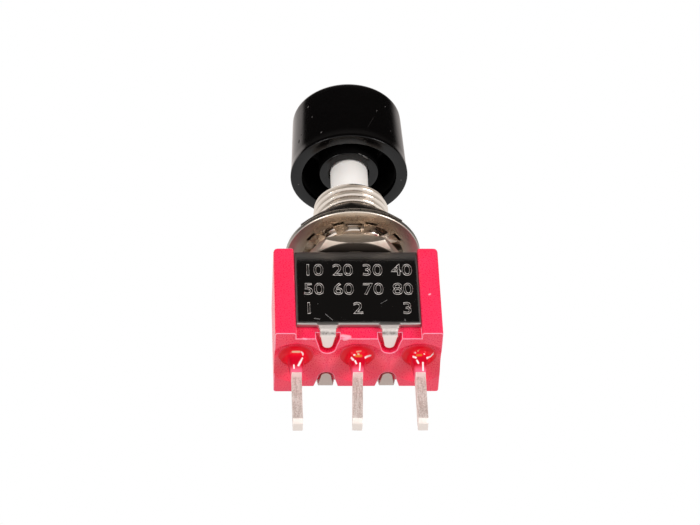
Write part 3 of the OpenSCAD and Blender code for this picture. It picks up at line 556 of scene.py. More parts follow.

# %% [markdown]
# ** Rolled stainless steel.** The frame is folded from bright strip, close to a mirror. Rolling leaves
# it slightly wavy over several millimetres, and near the top fold the sheet springs back into a slight
# curve. It is worn where it is handled: matt towards its lower edge, its sides and its top, with a few
# short scratches. Along the bend its front is painted darker, as painted shade.

# %% Bright strip steel, its waves and wear
strip_steel, tree, mm = begin_material("bright_strip_steel")
x, y, z = axes(tree, mm)
side, depth = maths(tree, "ABSOLUTE", x), maths(tree, "ABSOLUTE", y)
bump = bumped(tree, noise(tree, mm, 0.35, 2.0), 0.02, 0.5)
spring = maths(tree, "MAXIMUM", maths(tree, "SUBTRACT", z, 7.1), 0.0)
bump = bumped(tree, maths(tree, "MULTIPLY", spring, spring), 0.058, below=bump, dented=True)
handled = 0.0
for measure, start, end in ((z, 1.58, 1.1), (z, 7.95, 8.6), (side, 4.46, 4.7)):
    handled = maths(tree, "MAXIMUM", handled, ease(tree, measure, start, end))
# Painted shade: the front is darker towards the top bend.
fold_shade = ease(tree, z, 7.0, 8.5, 0.0, ease(tree, depth, 2.5, 2.9))
colour = tint(tree, fold_shade, tint(tree, handled, "#cfccca", "#aca5a1"), "#6f6864")
scored = near_lines(tree, mm, [((-2.50, -3.25, 2.10), (-2.28, -3.25, 1.84), 0.06),
                               ((-2.20, -3.25, 1.76), (-1.99, -3.25, 1.50), 0.05),
                               ((1.76, -3.25, 3.16), (2.23, -3.25, 3.51), 0.035),
                               ((3.51, -3.25, 1.40), (3.52, -3.25, 1.56), 0.07),
                               ((-3.35, -3.25, 1.66), (-2.95, -3.25, 1.62), 0.07),
                               ((-3.06, -3.25, 3.12), (-3.04, -3.25, 3.14), 0.05)])
stretched = add_node(tree, "ShaderNodeMapping", {}, {"Vector": mm, "Rotation": (0.3, 0.5, 0.9),
                                                      "Scale": (0.6, 6.0, 0.8)})
polish = ramp(tree, noise(tree, stretched.outputs[0], 2.2, 3.0), 0.62, 0.85, 0.05, 0.2)
rough = ramp(tree, maths(tree, "MAXIMUM", handled, scored), 0.0, 1.0, polish, 0.5)
rough = blend(tree, fold_shade, rough, 0.65)
print("waves and wear:", len(tree.nodes), "nodes")

# %% [markdown]
# The tabs were folded hard, so they are stretched and matt like the skin of an orange. A dark line of
# painted shade runs where the fold ends, and the two tabs at the back are painted darker, as shade.

# %% Bright strip steel, its folded tabs
folded = ease(tree, z, 1.08, 0.95)
peel = noise(tree, mm, 6.0, 4.0)
# Painted shade: a dark line where the fold ends.
crease_shade = maths(tree, "ABSOLUTE", maths(tree, "SUBTRACT", depth, 3.08))
crease_shade = maths(tree, "MULTIPLY", ease(tree, crease_shade, 0.22, 0.0), ramp(tree, peel, 0.40, 0.58, 0.55, 0.85))
# Painted shade: the tabs at the back are darker.
shaded_behind = maths(tree, "GREATER_THAN", y, 0.0)
colour = tint(tree, folded, colour, "#f3e9e3")
colour = tint(tree, maths(tree, "MULTIPLY", crease_shade, folded), colour, "#5c5450")
colour = tint(tree, maths(tree, "MULTIPLY", shaded_behind, folded), colour, "#c6b6ae")
bump = bumped(tree, maths(tree, "MULTIPLY", peel, folded), 0.03, 0.8, below=bump)
end_material(strip_steel, {"Base Color": colour, "Metallic": ramp(tree, folded, 0.0, 1.0, 1.0, 0.6),
                           "Roughness": blend(tree, folded, rough, 0.5), "Normal": bump})

# %% [markdown]
# ** Tinned brass.** The terminals are cut from strip and dipped for soldering, so they are pale, dull
# and faintly streaked along their length. They are lighter just below the resin, where the tin ridges,
# and at the bevelled tip, where the lighter colour is a painted highlight.

# %% Tinned brass
tinned_brass, tree, mm = begin_material("tinned_brass")
stretched = add_node(tree, "ShaderNodeMapping", {}, {"Vector": mm, "Scale": (7.0, 7.0, 0.9)})
streak, pits = noise(tree, stretched.outputs[0], 1.0, 3.0), noise(tree, mm, 9.0, 4.0)
colour = tint(tree, ramp(tree, maths(tree, "ADD", streak, pits), 0.8, 1.2), "#f6e9e2", "#cdb9b0")
height = axes(tree, mm)[2]
# Lighter just below the resin, where the tin ridges, and at the tip, as a painted highlight on the bevel.
for start, end in ((-2.05, -1.75), (-5.8, -5.95)):
    colour = tint(tree, ease(tree, height, start, end), colour, "#f6ebe4")
bump = bumped(tree, streak, 0.02, 0.6, below=bumped(tree, pits, 0.02, 0.9))
end_material(tinned_brass, {"Base Color": colour, "Metallic": 0.6,
                            "Roughness": ramp(tree, pits, 0.3, 0.7, 0.5, 0.72), "Normal": bump})

# %% [markdown]
# **Casting resin, red.** It was poured into the wells and set with a wet gloss. It is a clear resin
# with a strong dye: a deep pool is a full red, and a thin film lets the pink case through. Each
# point of its mesh carries the length that light goes through the resin before it meets the case or
# a terminal, and the dye's colour deepens with that length as in any coloured glass. It is darker
# where it climbs a terminal, and pink where that skirt runs out.

# %% Red casting resin
DYE_LENGTH = 0.16
resin_red, tree, mm = begin_material("red_casting_resin")
way = add_node(tree, "ShaderNodeAttribute", {"attribute_name": "way"}).outputs["Fac"]
clear = maths(tree, "EXPONENT", maths(tree, "MULTIPLY", way, -1 / DYE_LENGTH))
colour = tint(tree, clear, "#f6102c", "#f04560")
height = axes(tree, mm)[2]
colour = tint(tree, ease(tree, height, 0.35, -0.3), colour, "#cc0a2a")
colour = tint(tree, ease(tree, height, -0.7, -1.4), colour, "#ff6c8c")
print("dyed resin:", len(tree.nodes), "nodes")

# %% [markdown]
# Small things are caught in the resin round each terminal: brass that shows through and amber flux.
# White painted glints stand where the wet edge would catch the light.

# %% Marks in the resin
amber = near_lines(tree, mm, [((-0.18, -0.86, -0.03), (0.22, -0.86, -0.03), 0.15),
                              ((4.49, -0.88, 0.01), (4.80, -0.89, 0.03), 0.12)])
brassy = near_lines(tree, mm, [((-5.00, -1.01, 0.25), (-4.42, -1.01, 0.25), 0.11),
                               ((-4.84, -1.18, 0.32), (-4.40, -1.20, 0.33), 0.06),
                               ((-0.09, -1.02, 0.24), (0.22, -1.06, 0.27), 0.10),
                               ((0.00, -0.93, 0.11), (0.05, -0.92, 0.09), 0.11),
                               ((4.55, -1.06, 0.27), (4.72, -1.18, 0.32), 0.10)])
# Painted glints: white where the wet edge would catch the light.
painted_glints = near_lines(tree, mm, [
    ((-4.30, -1.00, 0.25), (-4.19, -0.88, 0.22), 0.11), ((-4.17, -0.84, 0.18), (-4.15, -0.83, 0.10), 0.13),
    ((-4.22, -0.73, -0.13), (-4.38, -0.74, -0.48), 0.10),
    ((-4.38, -0.74, -0.48), (-4.55, -0.70, -0.84), 0.12),
    ((-4.90, -0.70, -0.80), (-4.89, -0.67, -1.10), 0.08),
    ((-0.32, -0.88, 0.06), (-0.27, -0.88, 0.05), 0.10), ((-0.53, -0.69, -0.08), (-0.38, -0.75, -0.33), 0.12),
    ((-0.24, -0.76, -0.45), (-0.16, -0.73, -0.68), 0.10), ((0.55, -0.66, -0.04), (0.68, -0.50, 0.17), 0.13),
    ((0.68, -0.50, 0.17), (0.83, -0.31, 0.39), 0.15), ((0.83, -0.31, 0.39), (0.95, -0.24, 0.49), 0.15),
    ((0.13, -0.73, -0.63), (0.11, -0.69, -0.95), 0.08), ((0.11, -0.69, -0.95), (0.07, -0.66, -1.30), 0.08),
    ((4.33, -0.96, 0.21), (4.35, -0.95, 0.20), 0.10), ((5.05, -0.91, 0.13), (5.06, -0.90, 0.12), 0.09),
    ((4.17, -0.73, 0.00), (4.38, -0.80, -0.16), 0.11), ((4.46, -0.77, -0.41), (4.56, -0.73, -0.64), 0.10),
    ((5.25, -0.65, -0.08), (5.40, -0.37, 0.20), 0.12), ((5.40, -0.37, 0.20), (5.55, -0.17, 0.44), 0.12),
    ((5.60, -0.18, 0.47), (5.74, -0.39, 0.50), 0.10), ((5.74, -0.39, 0.50), (5.81, -0.72, 0.46), 0.06),
    ((4.91, -0.73, -0.60), (4.90, -0.69, -0.95), 0.09), ((4.90, -0.69, -0.95), (4.89, -0.65, -1.31), 0.09)])
for share, code in ((amber, "#d87a30"), (brassy, "#ecd3ae"), (painted_glints, "#ffffff")):
    colour = tint(tree, share, colour, code)
end_material(resin_red, {"Base Color": colour, "Roughness": 0.05, "IOR": 1.54, "Specular IOR Level": 0.1,
                         "Normal": bumped(tree, noise(tree, mm, 1.3, 2.0), 0.04, 0.5)})

# %% [markdown]
# **The hidden parts.** Springs of drawn wire, a nylon seat and pin, silver rivets and a blade of
# spring copper. Nobody sees them while the switch is whole, but they are there when it is taken
# apart, so each has its own simple finish.

# %% Materials of the inner parts
def plain_finish(name, light_code, dark_code, metallic, roughness, scale):
    """A finish with a mottle of the given scale, in patches per millimetre."""
    material, tree, mm = begin_material(name)
    mottle = noise(tree, mm, scale, 3.0)
    end_material(material, {"Base Color": tint(tree, mottle, light_code, dark_code), "Metallic": metallic,
                            "Roughness": roughness, "Normal": bumped(tree, mottle, 0.005, 0.5)})
    return material


spring_wire = plain_finish("drawn_spring_wire", "#d6d6d6", "#b4b4b4", 1.0, 0.22, 8.0)
black_nylon = plain_finish("black_nylon", "#2b2523", "#1f1a19", 0.0, 0.5, 6.0)
ivory_nylon = plain_finish("ivory_nylon", "#efe6d2", "#e0d4bc", 0.0, 0.45, 6.0)
silver_rivet = plain_finish("silver_rivet", "#f0ede8", "#d8d2c8", 1.0, 0.3, 7.0)
spring_copper = plain_finish("spring_copper", "#d8a26a", "#b9804a", 1.0, 0.28, 5.0)


# %% [markdown]
# ## Dressing a CAD part
#
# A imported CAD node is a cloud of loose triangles. Its copy is merged, flat areas become single faces,
# and each sharp edge gets a small round, because no moulded or stamped edge is truly sharp and the
# thin highlight on it is what makes a part look real. All of it is done in millimetres, where such
# small edges are not lost to rounding. Where two rounds meet in a corner, a pair of faces can lie back
# to back, and such twins are taken away.

# %% Copy, merge and soften
FLAT, HARD = math.radians(0.4), math.radians(28)
SHORTEST_EDGE = 0.0003


def dressed_copy(node, material, edge=0.0, sharp=25.0, merge=0.0005, only=None, wide=None, cut=None):
    """A CAD node's copy with softened edges, which stands for it and rides on its body. only says
    which edges are softened, and wide is a pair: which edges get a wider round, and its size. cut is a
    height at which the mesh is split first, so that the softening can end there."""
    shape = bmesh.new()
    shape.from_mesh(frame["nodes"][node].data)
    rubbed = shape.faces.layers.float.new("rubbed")
    bmesh.ops.transform(shape, matrix=Matrix.Scale(1 / MM, 4), verts=shape.verts)
    bmesh.ops.remove_doubles(shape, verts=shape.verts, dist=merge)
    bmesh.ops.dissolve_limit(shape, angle_limit=FLAT, verts=shape.verts, edges=shape.edges)
    if cut is not None:
        bmesh.ops.bisect_plane(shape, geom=shape.verts[:] + shape.edges[:] + shape.faces[:],
                               plane_co=(0, 0, cut), plane_no=(0, 0, 1))
    rounds = [(only, edge, 2)] if edge else []
    if wide:
        rounds.insert(0, (*wide, 4))
    for picked, size, steps in rounds:
        hard = [e for e in shape.edges if len(e.link_faces) == 2 and e.calc_face_angle(0.0) > HARD
                and (picked is None or picked(*(v.co for v in e.verts)))]
        made = bmesh.ops.bevel(shape, geom=hard, offset=size, segments=steps, profile=0.5,
                               affect="EDGES", clamp_overlap=False)
        # The round's faces are marked, so that a material can paint a highlight along the edges.
        for face in made["faces"]:
            face[rubbed] = 1.0
    bmesh.ops.dissolve_degenerate(shape, dist=SHORTEST_EDGE, edges=shape.edges)
    bmesh.ops.triangulate(shape, faces=shape.faces, quad_method="FIXED")
    alike = {}
    for face in shape.faces:
        alike.setdefault(frozenset(face.verts), []).append(face)
    twins = [face for faces in alike.values() if len(faces) > 1 for face in faces]
    bmesh.ops.delete(shape, geom=twins, context="FACES_ONLY")
    mesh = bpy.data.meshes.new(node)
    shape.to_mesh(mesh)
    shape.free()
    piece = link_piece(node + "_dressed", mesh, material, sharp, flats=edge > 0)
    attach(piece, frame["nodes"][node]["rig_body"])
    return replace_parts(piece, node)


# %% [markdown]
# Not every edge is rounded. The case has soft outer edges and notch rims, but its wells open sharply.
# The frame's legs end in a wider round than its other edges have, and the terminals are rounded only
# below the resin.

# %% Dress the outer CAD parts
PIN_PITCH, WELL_R = 4.7, 2.28
CASE_X, CASE_Y, CASE_Z, FOOT_Z, WELL_Z = 6.2, 2.7, 8.6, 0.02, 0.7
LEG_END, LEG_FACE, LEG_ROUND = 1.1, span("mounting_frame")[1].y, 0.14
SLACK_Y, SLACK_Z = 0.02, 0.05
RESIN_END = -0.4


def case_edge(a, b):
    """Outer edges of the case and the rims of its tab notches, but not the mouths of its wells, nor the
    edges where a well cuts through the end of the case."""
    outer = all(abs(p.x) > CASE_X or abs(p.y) > CASE_Y or p.z > CASE_Z for p in (a, b))
    rim = all(p.z < FOOT_Z and min(math.hypot(p.x - x, p.y) for x in (-PIN_PITCH, 0.0, PIN_PITCH)) > WELL_R
              for p in (a, b))
    cut_open = all(FOOT_Z < p.z < WELL_Z and abs(p.x) > CASE_X for p in (a, b))
    return rim or outer and not cut_open


def leg_end(a, b):
    """The outer edge at the lower end of each leg."""
    return all(abs(p.z - LEG_END) < SLACK_Z and abs(p.y) > LEG_FACE - SLACK_Y for p in (a, b))


def below_resin(a, b):
    """Edges of a terminal outside its well."""
    return max(a.z, b.z) < RESIN_END + 0.01


dressed_copy("case", case_red, edge=0.045, only=case_edge)
dressed_copy("mounting_frame", strip_steel, edge=0.045, wide=(leg_end, LEG_ROUND))
for node, finish in (("lower_nut", lower_nickel), ("upper_nut", upper_nickel)):
    dressed_copy(node, finish, edge=0.04, merge=0.01)
for node in ("common_terminal", "open_terminal", "closed_terminal"):
    dressed_copy(node, tinned_brass, edge=0.05, only=below_resin, cut=RESIN_END)

# %% [markdown]
# The hidden parts keep their CAD meshes, which need no more than a finish.

# %% Finish for the inner parts
for node, finish in (("drive_pin", ivory_nylon), ("spring_seat", black_nylon),
                     ("open_contact", silver_rivet), ("closed_contact", silver_rivet),
                     ("moving_contact", silver_rivet), ("contact_blade", spring_copper),
                     ("snap_spring", spring_copper)):
    mesh = frame["nodes"][node].data
    mesh.materials.clear()
    mesh.materials.append(finish)
    print(node, "->", finish.name)


# %% [markdown]
# ## Parts turned on a lathe
#
# The cap and the plunger are round, so each is an outline turned about the Z axis. The outline is a
# closed loop of radius and height, drawn once round the section.

# %% Turning an outline
def turned(name, outline, around):
    """A mesh in millimetres from a closed outline of (radius, height), turned about Z."""
    turns = [2 * math.pi * i / around for i in range(around)]
    points = [(r * math.cos(turn), r * math.sin(turn), z) for turn in turns for r, z in outline]
    return mesh_from(name, points, wrap(around, len(outline), closed=True))


def arc(centre_r, centre_z, radius, start, end, steps=4):
    """Points of a round corner, from one direction to another in degrees."""
    turns = [math.radians(start + (end - start) * k / steps) for k in range(steps + 1)]
    return [(centre_r + radius * math.cos(turn), centre_z + radius * math.sin(turn)) for turn in turns]


# %% [markdown]
# **The cap.** A tapered wall with a thin flare at the rim, a flat underside left by the mould's parting
# face, a deep round recess, and the boss that grips the plunger.

# %% Cap
low, high = span("cap")
rim_z, top_z, rim_r = low.z, high.z, high.x
top_r, edge, recess_r, recess_z = 4.38, 0.42, 3.80, low.z + 4.7
boss_r, boss_z, mouth_r, mouth_z = 2.375, low.z + 0.3, 1.63, low.z + 1.1
grip_r, grip_z = 1.505, low.z + 3.75
outline = ([(0.0, top_z)] + arc(top_r - edge, top_z - edge, edge, 90, 2, 8)
           + [(top_r + 0.02, top_z - 0.75), (rim_r - 0.09, rim_z + 1.05), (rim_r - 0.07, rim_z + 0.65),
              (rim_r - 0.02, rim_z + 0.36)]
           + arc(rim_r - 0.07, rim_z + 0.07, 0.07, 0, -90)
           + arc(recess_r + 0.06, rim_z + 0.06, 0.06, -90, -180)
           + arc(recess_r - 0.3, recess_z - 0.3, 0.3, 0, 90, 5)
           + arc(boss_r + 0.2, recess_z - 0.2, 0.2, 90, 180)
           + arc(boss_r - 0.1, boss_z + 0.1, 0.1, 0, -90)
           + arc(mouth_r + 0.08, boss_z + 0.08, 0.08, -90, -180)
           + [(mouth_r, mouth_z), (grip_r, mouth_z + 0.1), (grip_r, grip_z), (0.0, grip_z)])
cap = link_piece("cap_dressed", turned("cap", outline, 128), cap_black)
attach(cap, "button")
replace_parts(cap, "cap")

# %% [markdown]
# **The plunger.** Above the bushing it is a plain white stem. Inside are the stop collar and the thin
# hollow stem that the return spring sits round.

# %% Plunger
low, high = span("plunger")
stem_r, groove_r, collar_r, lower_r, bore_r = 1.5, 1.36, 1.80, 1.2, 0.8
collar_top, bore_top = span("bushing")[1].z - 1.34, low.z + 4.9
outline = [(0.0, high.z)] + arc(1.2, high.z - 0.3, 0.3, 90, 0) + [
    (stem_r, high.z - 0.7), (groove_r, high.z - 0.72), (groove_r, high.z - 1.18), (stem_r, high.z - 1.2),
    (stem_r, collar_top), (collar_r, collar_top), (collar_r, collar_top - 1.0), (lower_r, collar_top - 1.0),
    (lower_r, low.z), (bore_r, low.z), (bore_r, bore_top), (0.0, bore_top)]
plunger = link_piece("plunger_dressed", turned("plunger", outline, 64), plunger_white)
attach(plunger, "button")
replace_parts(plunger, "plunger")

# %% [markdown]
# ## The springs
#
# A spring shortens when the button is pressed. Each dressed copy is given its own mesh, and how much of
# its length it would keep is printed. The return spring gives way by the button's whole travel, and
# the drive spring by what the drive pin doesn't follow.

# %% Springs
TRAVEL, UNFOLLOWED = 1.9, 1.53
for node, joint, anchor_z, shorter in (
        ("return_spring", "button_press", span("return_spring")[0].z, TRAVEL),
        ("drive_spring", "pusher_slide", span("drive_spring")[1].z, UNFOLLOWED)):
    low, high = span(node)
    spring = dressed_copy(node, spring_wire, sharp=60.0)
    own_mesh(spring)
    print(node, "keeps", round(1 - shorter / (high.z - low.z), 2), "of its length")


# %% [markdown]
# ## Geometry Nodes for what follows a rule
#
# A thread, a ring of teeth and a stamped line all repeat or follow a path, so each is a node tree with
# named sizes. Three helpers start such a tree, end it, and turn its result into a plain mesh.

# %% Trees that grow a mesh
def begin_tree(name, sizes):
    """A geometry tree with an input for each size, and the links that carry them."""
    tree = bpy.data.node_groups.new(name, "GeometryNodeTree")
    tree.interface.new_socket("Geometry", in_out="INPUT", socket_type="NodeSocketGeometry")
    tree.interface.new_socket("Geometry", in_out="OUTPUT", socket_type="NodeSocketGeometry")
    for label, value in sizes.items():
        kind = "Material" if isinstance(value, bpy.types.Material) else \
            "String" if isinstance(value, str) else "Int" if isinstance(value, int) else "Float"
        tree.interface.new_socket(label, in_out="INPUT", socket_type="NodeSocket" + kind)
    return tree, add_node(tree, "NodeGroupInput").outputs


def end_tree(tree, material, geometry):
    """Ends a tree in Realize Instances and Set Material."""
    real = add_node(tree, "GeometryNodeRealizeInstances", {}, {"Geometry": geometry})
    done = add_node(tree, "GeometryNodeSetMaterial", {},
                    {"Geometry": real.outputs[0], "Material": material})
    add_node(tree, "NodeGroupOutput", {}, {"Geometry": done.outputs[0]})
    print(tree.name, "tree:", len(tree.nodes), "nodes")


def grown(name, tree, sizes):
    """The plain mesh that a tree makes with these sizes."""
    host = bpy.data.objects.new(name, bpy.data.meshes.new(name))
    scene.collection.objects.link(host)
    modifier = host.modifiers.new("rule", "NODES")
    modifier.node_group = tree
    for item in tree.interface.items_tree:
        if item.in_out == "INPUT" and item.name in sizes:
            modifier[item.identifier] = sizes[item.name]
    bpy.context.view_layer.update()
    depsgraph = bpy.context.evaluated_depsgraph_get()
    mesh = bpy.data.meshes.new_from_object(host.evaluated_get(depsgraph), depsgraph=depsgraph)
    bpy.data.objects.remove(host)
    return mesh


# %% [markdown]
# **The thread.** A flat grid is rolled into a tube that climbs by one pitch in each turn, so its rows
# become helices. Eight rows make one turn of thread: each row has its place on the V profile. At both
# ends the height is held at the end plane and the last rows are drawn in to the core, and the top is
# bevelled as the tool would. Merging by distance joins the seam.

# %% The thread's tree
ROWS = 8
thread_sizes = {"Crest radius": 2.975, "Root radius": 2.62, "Pitch": 0.635, "From": 8.7, "To": 16.16,
                "Bevel": 0.25, "Core radius": 2.4, "Turns": 14, "Columns": 96, "Material": thread_nickel}
tree, size = begin_tree("thread", thread_sizes)
thread_tree = tree
rows = maths(tree, "MULTIPLY", size["Turns"], ROWS)
grid = add_node(tree, "GeometryNodeMeshGrid", {}, {
    "Size X": 1.0, "Size Y": 1.0, "Vertices X": maths(tree, "ADD", size["Columns"], 1.0),
    "Vertices Y": maths(tree, "ADD", rows, 1.0)})
x, y = axes(tree, add_node(tree, "GeometryNodeInputPosition").outputs[0])[:2]
u, v = maths(tree, "ADD", x, 0.5), maths(tree, "ADD", y, 0.5)
row = maths(tree, "ROUND", maths(tree, "MULTIPLY", v, rows))
climb = maths(tree, "SUBTRACT", maths(tree, "MULTIPLY_ADD", row, 1 / ROWS, u), 1.5)
free_z = maths(tree, "MULTIPLY_ADD", climb, size["Pitch"], size["From"])
z = held(tree, free_z, size["From"], size["To"])
profile = ramp(tree, maths(tree, "PINGPONG", row, ROWS / 2), 0.5, ROWS / 2 - 0.5,
               size["Root radius"], size["Crest radius"])
bevel = maths(tree, "ADD", maths(tree, "SUBTRACT", size["Crest radius"], size["Bevel"]),
              maths(tree, "SUBTRACT", size["To"], z))
past = maths(tree, "ABSOLUTE", maths(tree, "SUBTRACT", free_z, z))
past = maths(tree, "GREATER_THAN", past, maths(tree, "MULTIPLY", size["Pitch"], 1.01 / ROWS))
radius = blend(tree, past, maths(tree, "MINIMUM", profile, bevel), size["Core radius"])
angle = maths(tree, "MULTIPLY", u, 2 * math.pi)
x, y = (maths(tree, "MULTIPLY", radius, maths(tree, part, angle)) for part in ("COSINE", "SINE"))
rolled = add_node(tree, "GeometryNodeSetPosition", {},
                  {"Geometry": grid.outputs[0], "Position": point(tree, x, y, z)})
joined = add_node(tree, "GeometryNodeMergeByDistance", {}, {0: rolled.outputs[0], "Distance": 0.001})
end_tree(tree, size["Material"], joined.outputs[0])

# %% [markdown]
# The bushing is that thread round a turned core, which carries the guide hole, the lip that holds the
# plunger, and the spigot and rivet rim that fix it to the frame. A ring of faces closes the thread's
# tube before the core is added.

# %% Bushing
low, high = span("bushing")
frame_top = span("mounting_frame")[1].z
thread = grown("thread", thread_tree, {**thread_sizes, "From": frame_top + 0.01, "To": high.z})
both = bmesh.new()
both.from_mesh(thread)
bmesh.ops.remove_doubles(both, verts=both.verts, dist=1e-8)
bmesh.ops.bridge_loops(both, edges=[e for e in both.edges if e.is_boundary])
bmesh.ops.recalc_face_normals(both, faces=both.faces)
print("open edges left on the thread:", sum(e.is_boundary for e in both.edges))

guide_r, lip_r, core_r, spigot_r, well_r = 1.54, 1.6, 2.45, 2.25, 1.85
rivet_r, rivet_z, lip_z = 2.5, low.z + 0.33, high.z - 1.3
outline = [(guide_r, lip_z), (guide_r, high.z - 0.06), (lip_r, high.z), (core_r, high.z),
           (core_r, frame_top), (spigot_r, frame_top), (spigot_r, rivet_z), (rivet_r, rivet_z),
           (rivet_r - 0.02, low.z), (well_r, low.z), (well_r, lip_z)]
both.from_mesh(turned("core", outline, 96))
mesh = bpy.data.meshes.new("bushing")
both.to_mesh(mesh)
both.free()
bushing = link_piece("bushing_dressed", mesh, thread_nickel, sharp=34.0)
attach(bushing, "housing")
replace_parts(bushing, "bushing")

# %% [markdown]
# **The lock washer.** Ten teeth stand inside the ring, and each is twisted out of its plane so that its
# edges bite. One tooth is a bar whose twist grows from the ring to the tip. It is placed once for
# each tooth, turned by an equal share of the circle, and joined to the ring.

# %% The washer's tree
washer_sizes = {"Outer radius": 5.285, "Ring radius": 3.95, "Thickness": 0.45, "Tip radius": 3.06,
                "Tooth width": 0.95, "Twist": math.radians(20), "Teeth": 10, "Material": washer_nickel}
tree, size = begin_tree("toothed_washer", washer_sizes)
washer_tree = tree
wide = maths(tree, "SUBTRACT", size["Outer radius"], size["Ring radius"])
section = add_node(tree, "GeometryNodeCurvePrimitiveQuadrilateral", {},
                   {"Width": wide, "Height": size["Thickness"]})
section = add_node(tree, "GeometryNodeFilletCurve", {"mode": "POLY"},
                   {"Curve": section.outputs[0], "Radius": 0.09, "Count": 3})
path = add_node(tree, "GeometryNodeCurvePrimitiveCircle", {"mode": "RADIUS"}, {
    "Resolution": 120, "Radius": maths(tree, "MULTIPLY_ADD", wide, 0.5, size["Ring radius"])})
ring = add_node(tree, "GeometryNodeCurveToMesh", {}, {0: path.outputs[0], 1: section.outputs[0]})
long = maths(tree, "ADD", maths(tree, "SUBTRACT", size["Ring radius"], size["Tip radius"]), 0.3)
half = maths(tree, "MULTIPLY", long, 0.5)
bar = add_node(tree, "GeometryNodeMeshCube", {}, {
    "Size": point(tree, long, size["Tooth width"], size["Thickness"]),
    "Vertices X": 9, "Vertices Y": 5, "Vertices Z": 3})
place = add_node(tree, "GeometryNodeInputPosition").outputs[0]
twist = ease(tree, axes(tree, place)[0], maths(tree, "MULTIPLY", half, 0.4),
             maths(tree, "MULTIPLY", half, -0.4), 0.0, size["Twist"])
twisted = add_node(tree, "ShaderNodeVectorRotate", {"rotation_type": "X_AXIS"},
                   {"Vector": place, "Angle": twist})
outwards = point(tree, maths(tree, "ADD", half, size["Tip radius"]))
tooth = add_node(tree, "GeometryNodeSetPosition", {}, {
    "Geometry": bar.outputs[0], "Position": vectors(tree, "ADD", twisted.outputs[0], outwards)})
turn = maths(tree, "MULTIPLY", maths(tree, "DIVIDE", 2 * math.pi, size["Teeth"]),
             add_node(tree, "GeometryNodeInputIndex").outputs[0])
spots = add_node(tree, "GeometryNodePoints", {}, {"Count": size["Teeth"]})
teeth = add_node(tree, "GeometryNodeInstanceOnPoints", {}, {
    "Points": spots.outputs[0], "Instance": tooth.outputs[0], "Rotation": point(tree, z=turn)})
both = add_node(tree, "GeometryNodeJoinGeometry")
tree.links.new(ring.outputs[0], both.inputs[0])
tree.links.new(teeth.outputs[0], both.inputs[0])
end_tree(tree, size["Material"], both.outputs[0])

# %% [markdown]
# The tree makes the washer round the origin, so it is lifted to its height between the nuts.

# %% Lock washer
low, high = span("lock_washer")
mesh = grown("washer", washer_tree, washer_sizes)
mesh.transform(Matrix.Translation((0, 0, (low.z + high.z) / 2)))
shape = bmesh.new()
shape.from_mesh(mesh)
bmesh.ops.recalc_face_normals(shape, faces=shape.faces)
shape.to_mesh(mesh)
shape.free()
washer = link_piece("lock_washer_dressed", mesh, washer_nickel, sharp=40.0)
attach(washer, "housing")
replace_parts(washer, "lock_washer")

# %% [markdown]
# **Stamped figures.** The frame is marked with a punch before it is folded: two rows of plain
# numbers, and under them one number to each terminal. A punch raises a fine burr round each stroke,
# and on polished steel only that outline shows. String to Curves gives the figures as outlines, and
# the tree sweeps them with a thin round section.

# %% The stamped line's tree
burr = nickel("raised_burr", "#dcd6d2", "#b2aba6", 0.4, 0.55, 0.002)
stamp_sizes = {"Figures": "1", "Figure height": 1.62, "Line radius": 0.026, "Material": burr}
tree, size = begin_tree("stamped_outline", stamp_sizes)
stamp_tree = tree
text = add_node(tree, "GeometryNodeStringToCurves", {"align_x": "CENTER", "align_y": "MIDDLE"},
                {"String": size["Figures"], "Size": size["Figure height"]})
text = add_node(tree, "GeometryNodeRealizeInstances", {}, {0: text.outputs[0]})
section = add_node(tree, "GeometryNodeCurvePrimitiveCircle", {"mode": "RADIUS"},
                   {"Resolution": 8, "Radius": size["Line radius"]})
swept = add_node(tree, "GeometryNodeCurveToMesh", {}, {0: text.outputs[0], 1: section.outputs[0]})
end_tree(tree, size["Material"], swept.outputs[0])

# %% [markdown]
# Each number is made by itself, stood upright on the front leg, and joined to the others.

# %% Stamped figures
ROW_TOP, ROW_STEP, COLUMN_STEP, COLUMN_SHIFT, TERMINAL_STEP = 6.52, 1.94, 2.27, 0.08, 3.75
labels = [(str(10 * (4 * row + column + 1)), (column - 1.5) * COLUMN_STEP + COLUMN_SHIFT,
           ROW_TOP - row * ROW_STEP) for row in range(2) for column in range(4)]
labels += [(str(i + 2), TERMINAL_STEP * i, ROW_TOP - 2 * ROW_STEP) for i in (-1, 0, 1)]
marks = bmesh.new()
for figures, x, z in labels:
    part = grown("mark", stamp_tree, {**stamp_sizes, "Figures": figures})
    part.transform(Matrix.Translation((x, -LEG_FACE, z)) @ Matrix.Rotation(math.pi / 2, 4, "X"))
    marks.from_mesh(part)
mesh = bpy.data.meshes.new("figures")
marks.to_mesh(mesh)
marks.free()
figures = link_piece("stamped_figures", mesh, burr, sharp=60.0)
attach(figures, "housing")


# %% [markdown]
# ## Cast resin in the wells
#
# Liquid resin wets what it touches. It climbs each terminal in a thin skirt, and meets the cone of its
# well in a line that comes a little nearer to the mouth at the front, because the switch did not lie
# quite level while it set. The surface is lofted between those two lines. Under it the resin fills the cone
# and the pocket, and it reaches a hair into the red plastic, so that no air gap shows between them.

# %% The resin's edge in a well
MOUTH_R, MOUTH_H, POCKET_R, POCKET_Z = 2.25, 0.65, 1.25, 1.3
PIN_X, PIN_Y, FILM = 0.38, 0.595, 0.05
LEVEL, SLOPE, CLIMB, REACH = 0.6, 0.1, 1.42, 0.16
AROUND, SKIRT, FADE, SQUAREST = 64, 20, 2.2, 8
STEEP = (MOUTH_R - POCKET_R) / MOUTH_H


def wall_r(z):
    """Radius of a well at a depth above the board face."""
    return max(MOUTH_R - STEEP * z, POCKET_R)


